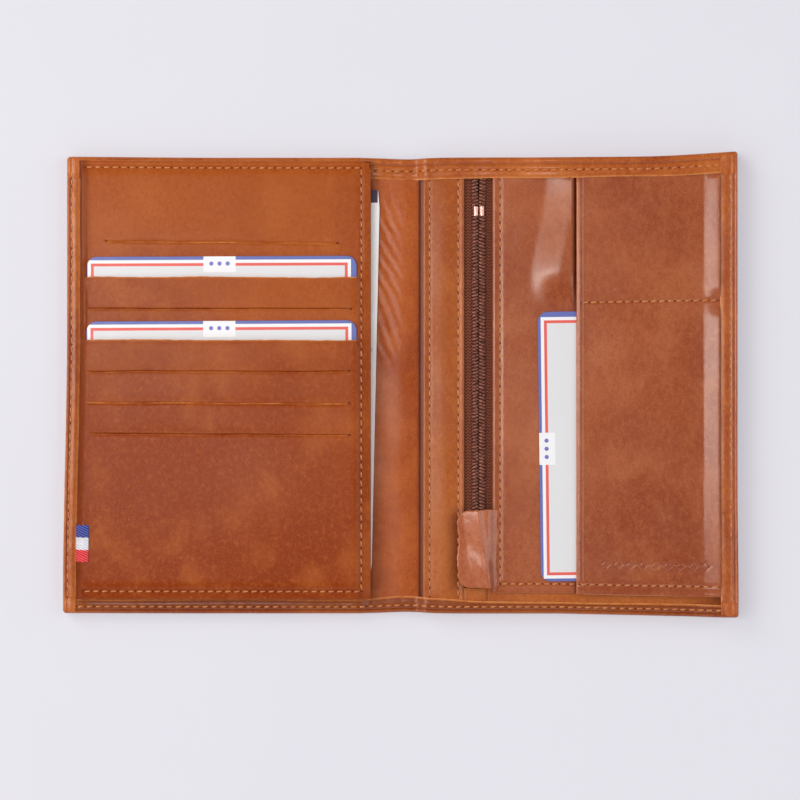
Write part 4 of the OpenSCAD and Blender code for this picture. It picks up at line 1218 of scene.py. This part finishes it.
def tape_top(x, y):
    """Woven tape with a raised cord beside the coil."""
    d = np.abs(x - ZIP_X)
    ribs = 0.04 * np.sin(d * 8.0) * np.sin(y * 5.3)
    return TAPE[1][2] - 0.02 + 0.14 * hump((d - 2.75) / 0.45) + ribs


for side, name in ((-1, "left"), (1, "right")):
    a, b = sorted((ZIP_X + side * 0.3, ZIP_X + side * 11.2))
    tape = slab("zip_tape_cloth_" + name, grid(a, b, 0.35), grid(TAPE[0][1], COIL_TOP + 4, 0.6), tape_top,
                flat(TAPE[0][2]), MAT["tape"], 0.12, 0.05, raw_scale=0)
    finish_piece(tape, "right_cover", ["zip_tape_" + name])


def zip_stop():
    """Two rounded lugs of bent metal clamped over the coil."""
    lugs, half = [], 0.86
    low, high = STOP
    for middle in (ZIP_X - 0.98, ZIP_X + 0.98):
        lugs.append(slab_data(middle + half * np.linspace(-1, 1, 17),
                              grid(low[1], high[1], 0.4, [], (0, 0.08, 0.2, 0.4)),
                              lambda x, y: high[2] + 0.12 - 0.75 * (np.abs(x - middle) / half) ** 2.6,
                              flat(low[2]), 0.18, 0.05))
    verts, faces, _ = joined(lugs)
    return make_object("zip_start_clip", verts, faces, MAT["metal"], angle=70)


finish_piece(zip_stop(), "right_cover", ["zip_bottom_stop"])


def rounded_copy(name, node, width, body):
    """A metal part as in the frame, with its edges rounded."""
    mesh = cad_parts[node].data.copy()
    bm = bmesh.new()
    bm.from_mesh(mesh)
    bmesh.ops.remove_doubles(bm, verts=bm.verts, dist=1e-6)
    bmesh.ops.dissolve_limit(bm, angle_limit=math.radians(1), verts=bm.verts, edges=bm.edges)
    sharp = [e for e in bm.edges if len(e.link_faces) == 2 and e.calc_face_angle(0) > math.radians(35)]
    bmesh.ops.bevel(bm, geom=sharp, offset=width * MM, segments=3, profile=0.6, affect="EDGES",
                    clamp_overlap=True)
    bmesh.ops.recalc_face_normals(bm, faces=bm.faces)
    bm.to_mesh(mesh)
    bm.free()
    mesh.materials.clear()
    mesh.materials.append(MAT["metal"])
    mesh.shade_smooth()
    mesh.set_sharp_from_angle(angle=math.radians(60))
    mesh.name = name
    finish_piece(link(name, mesh), body, [node])


rounded_copy("slider_body_rounded", "zip_slider", 0.12, "slider")
rounded_copy("slider_bail_rounded", "zip_slider_bail", 0.1, "slider")
rounded_copy("pull_rounded", "zip_pull", 0.14, "pull")
rounded_copy("zip_end_clips", "zip_top_stops", 0.15, "right_cover")


# ------------------------------------------------------------------ flap over the slider

def garage_flap():
    """A soft leather flap: sewn at its right, arched over the slider, its left edge standing proud."""
    width, corner, thick = FLAP[1][0] - FLAP[0][0], 4.0, 0.7
    length = FLAP[1][1] - FLAP[0][1]
    fine = (0, 0.12, 0.3, 0.6, 1.1, 1.8, 2.7, 4.0)
    U, V = np.meshgrid(grid(0, width, 0.4, [], fine), grid(0, length, 0.6, [], fine), indexing="ij")
    border = np.minimum.reduce([width - U, V, length - V])
    # round the two free corners, then let the cut edges waver
    du = U - (width - corner)
    for end in (0, 1):
        dv = (corner - V) if end == 0 else (V - (length - corner))
        inside = (du > 0) & (dv > 0)
        k = np.where(inside, np.maximum(du, dv) / (np.hypot(du, dv) + 1e-9), 1)
        U = np.where(inside, width - corner + du * k, U)
        V = np.where(inside, (corner - dv * k) if end == 0 else (length - corner + dv * k), V)
    near_edge = smooth(U / width * 1.4 - 0.4)
    X = FLAP[1][0] - U + near_edge * (0.26 * np.sin(V * 0.52) + 0.1 * np.sin(V * 2.3 + 1))
    Y = FLAP[0][1] + V + 0.25 * np.sin(U * 0.5 + 0.6) * (V / length - 0.5)
    # the ridge runs from the middle of the upper end down to the root at the lower end
    ridge = 6.6 - 3.9 * (1 - V / length) ** 1.25
    rise = (FLAP[1][2] - thick / 2 - PANEL[1][2] + 0.45) * smooth(U / 3.6)
    Z = PANEL[1][2] - 0.45 + rise + 0.34 * hump(U - ridge)
    Z = Z - 0.4 * smooth((ridge - U) / 2.0) * smooth(U / 2)
    Z = Z - 0.42 * smooth((U - ridge - 1.5) / 4) + 0.14 * smooth((U - width + 2.4) / 2.4)
    Z = Z + 0.09 * np.sin(Y * 0.42 + 1) * smooth(U / 6) + 0.06 * waves(X, Y, 71, 8)
    t = np.clip(border / 0.3, 0, 1)
    drop = 0.3 * (1 - np.sqrt(1 - (1 - t) ** 2))
    top = np.stack([X, Y, Z + thick / 2 - drop], -1).reshape(-1, 3)
    low = np.stack([X, Y, Z - thick / 2 + drop * 0.5], -1).reshape(-1, 3)
    edge = border.ravel()
    raw = np.concatenate([np.clip(1 - edge / 0.22, 0, 1) * 0.6, np.clip(1 - edge / 0.15, 0, 1)])
    return make_object("zip_flap_leather", np.concatenate([top, low]), closed_faces(*X.shape), MAT["flap"],
                       {"raw": raw})


FLAP_BEND = ("right_cover", "garage_flap", ((FLAP[1][0] + 0.1) * MM, 0, 0), ((FLAP[1][0] - 1.6) * MM, 0, 0))
finish_piece(garage_flap(), nodes=["zip_garage_flap"], blend=FLAP_BEND)


# ------------------------------------------------------------------ what stays as in the frame

for node, key in (("zip_pocket_front", "strip"), ("zip_pocket_back", "fabric")) + tuple(
        ("slot_lining_%d" % k, "fabric") for k in range(1, 8)):
    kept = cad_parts[node]
    kept.data.materials.clear()
    kept.data.materials.append(MAT[key])


# ------------------------------------------------------------------ studio

floor_mesh = bpy.data.meshes.new("studio_floor")
bm = bmesh.new()
bmesh.ops.create_grid(bm, x_segments=8, y_segments=8, size=3.0)
bm.to_mesh(floor_mesh)
bm.free()
floor_mesh.materials.append(floor_material())
floor = link("studio_floor", floor_mesh)
floor.location = (0, 0, -0.0002)

world = bpy.data.worlds.new("studio_world")
bpy.context.scene.world = world
world.use_nodes = True
background = world.node_tree.nodes["Background"]
background.inputs["Color"].default_value = (1.0, 0.985, 0.97, 1.0)
background.inputs["Strength"].default_value = 0.16


def softbox(name, place, target, size, power, colour):
    data = bpy.data.lights.new(name, "AREA")
    data.shape = "RECTANGLE"
    data.size, data.size_y = size
    data.energy = power
    data.color = colour
    obj = link(name, data)
    obj.location = place
    direction = Vector(target) - Vector(place)
    obj.rotation_euler = direction.to_track_quat("-Z", "Y").to_euler()


softbox("key_upper_left", (-1.02, 0.80, 0.86), (0, 0, 0), (0.9, 1.0), 13.0, (1.0, 0.985, 0.96))
softbox("fill_left", (-1.05, -0.55, 0.75), (0, 0, 0), (1.0, 1.0), 6.0, (1.0, 0.985, 0.97))
softbox("strip_left", (-0.64, 0.06, 1.15), (0.05, 0, 0), (0.18, 1.3), 7.0, (1.0, 0.955, 0.885))
softbox("fill_right", (1.15, 0.15, 0.80), (0, 0, 0), (1.0, 1.6), 8.6, (0.99, 0.98, 1.0))
softbox("fill_front", (0.25, -1.25, 0.75), (0, 0, 0), (1.6, 0.9), 5.0, (0.99, 0.98, 1.0))

camera_data = bpy.data.cameras.new("camera")
camera = link("camera", camera_data)
FRAME_WIDTH, DISTANCE = 0.254, 1.15      # what the picture spans at the wallet, and how far the camera is
camera_data.sensor_width = 36.0
camera_data.lens = camera_data.sensor_width * DISTANCE / FRAME_WIDTH
camera_data.clip_start, camera_data.clip_end = 0.05, 20
camera.location = (-0.00064, -0.0046, DISTANCE + 0.005)
camera.rotation_euler = (0, 0, 0)
bpy.context.scene.camera = camera
bpy.context.scene.view_settings.view_transform = "Standard"
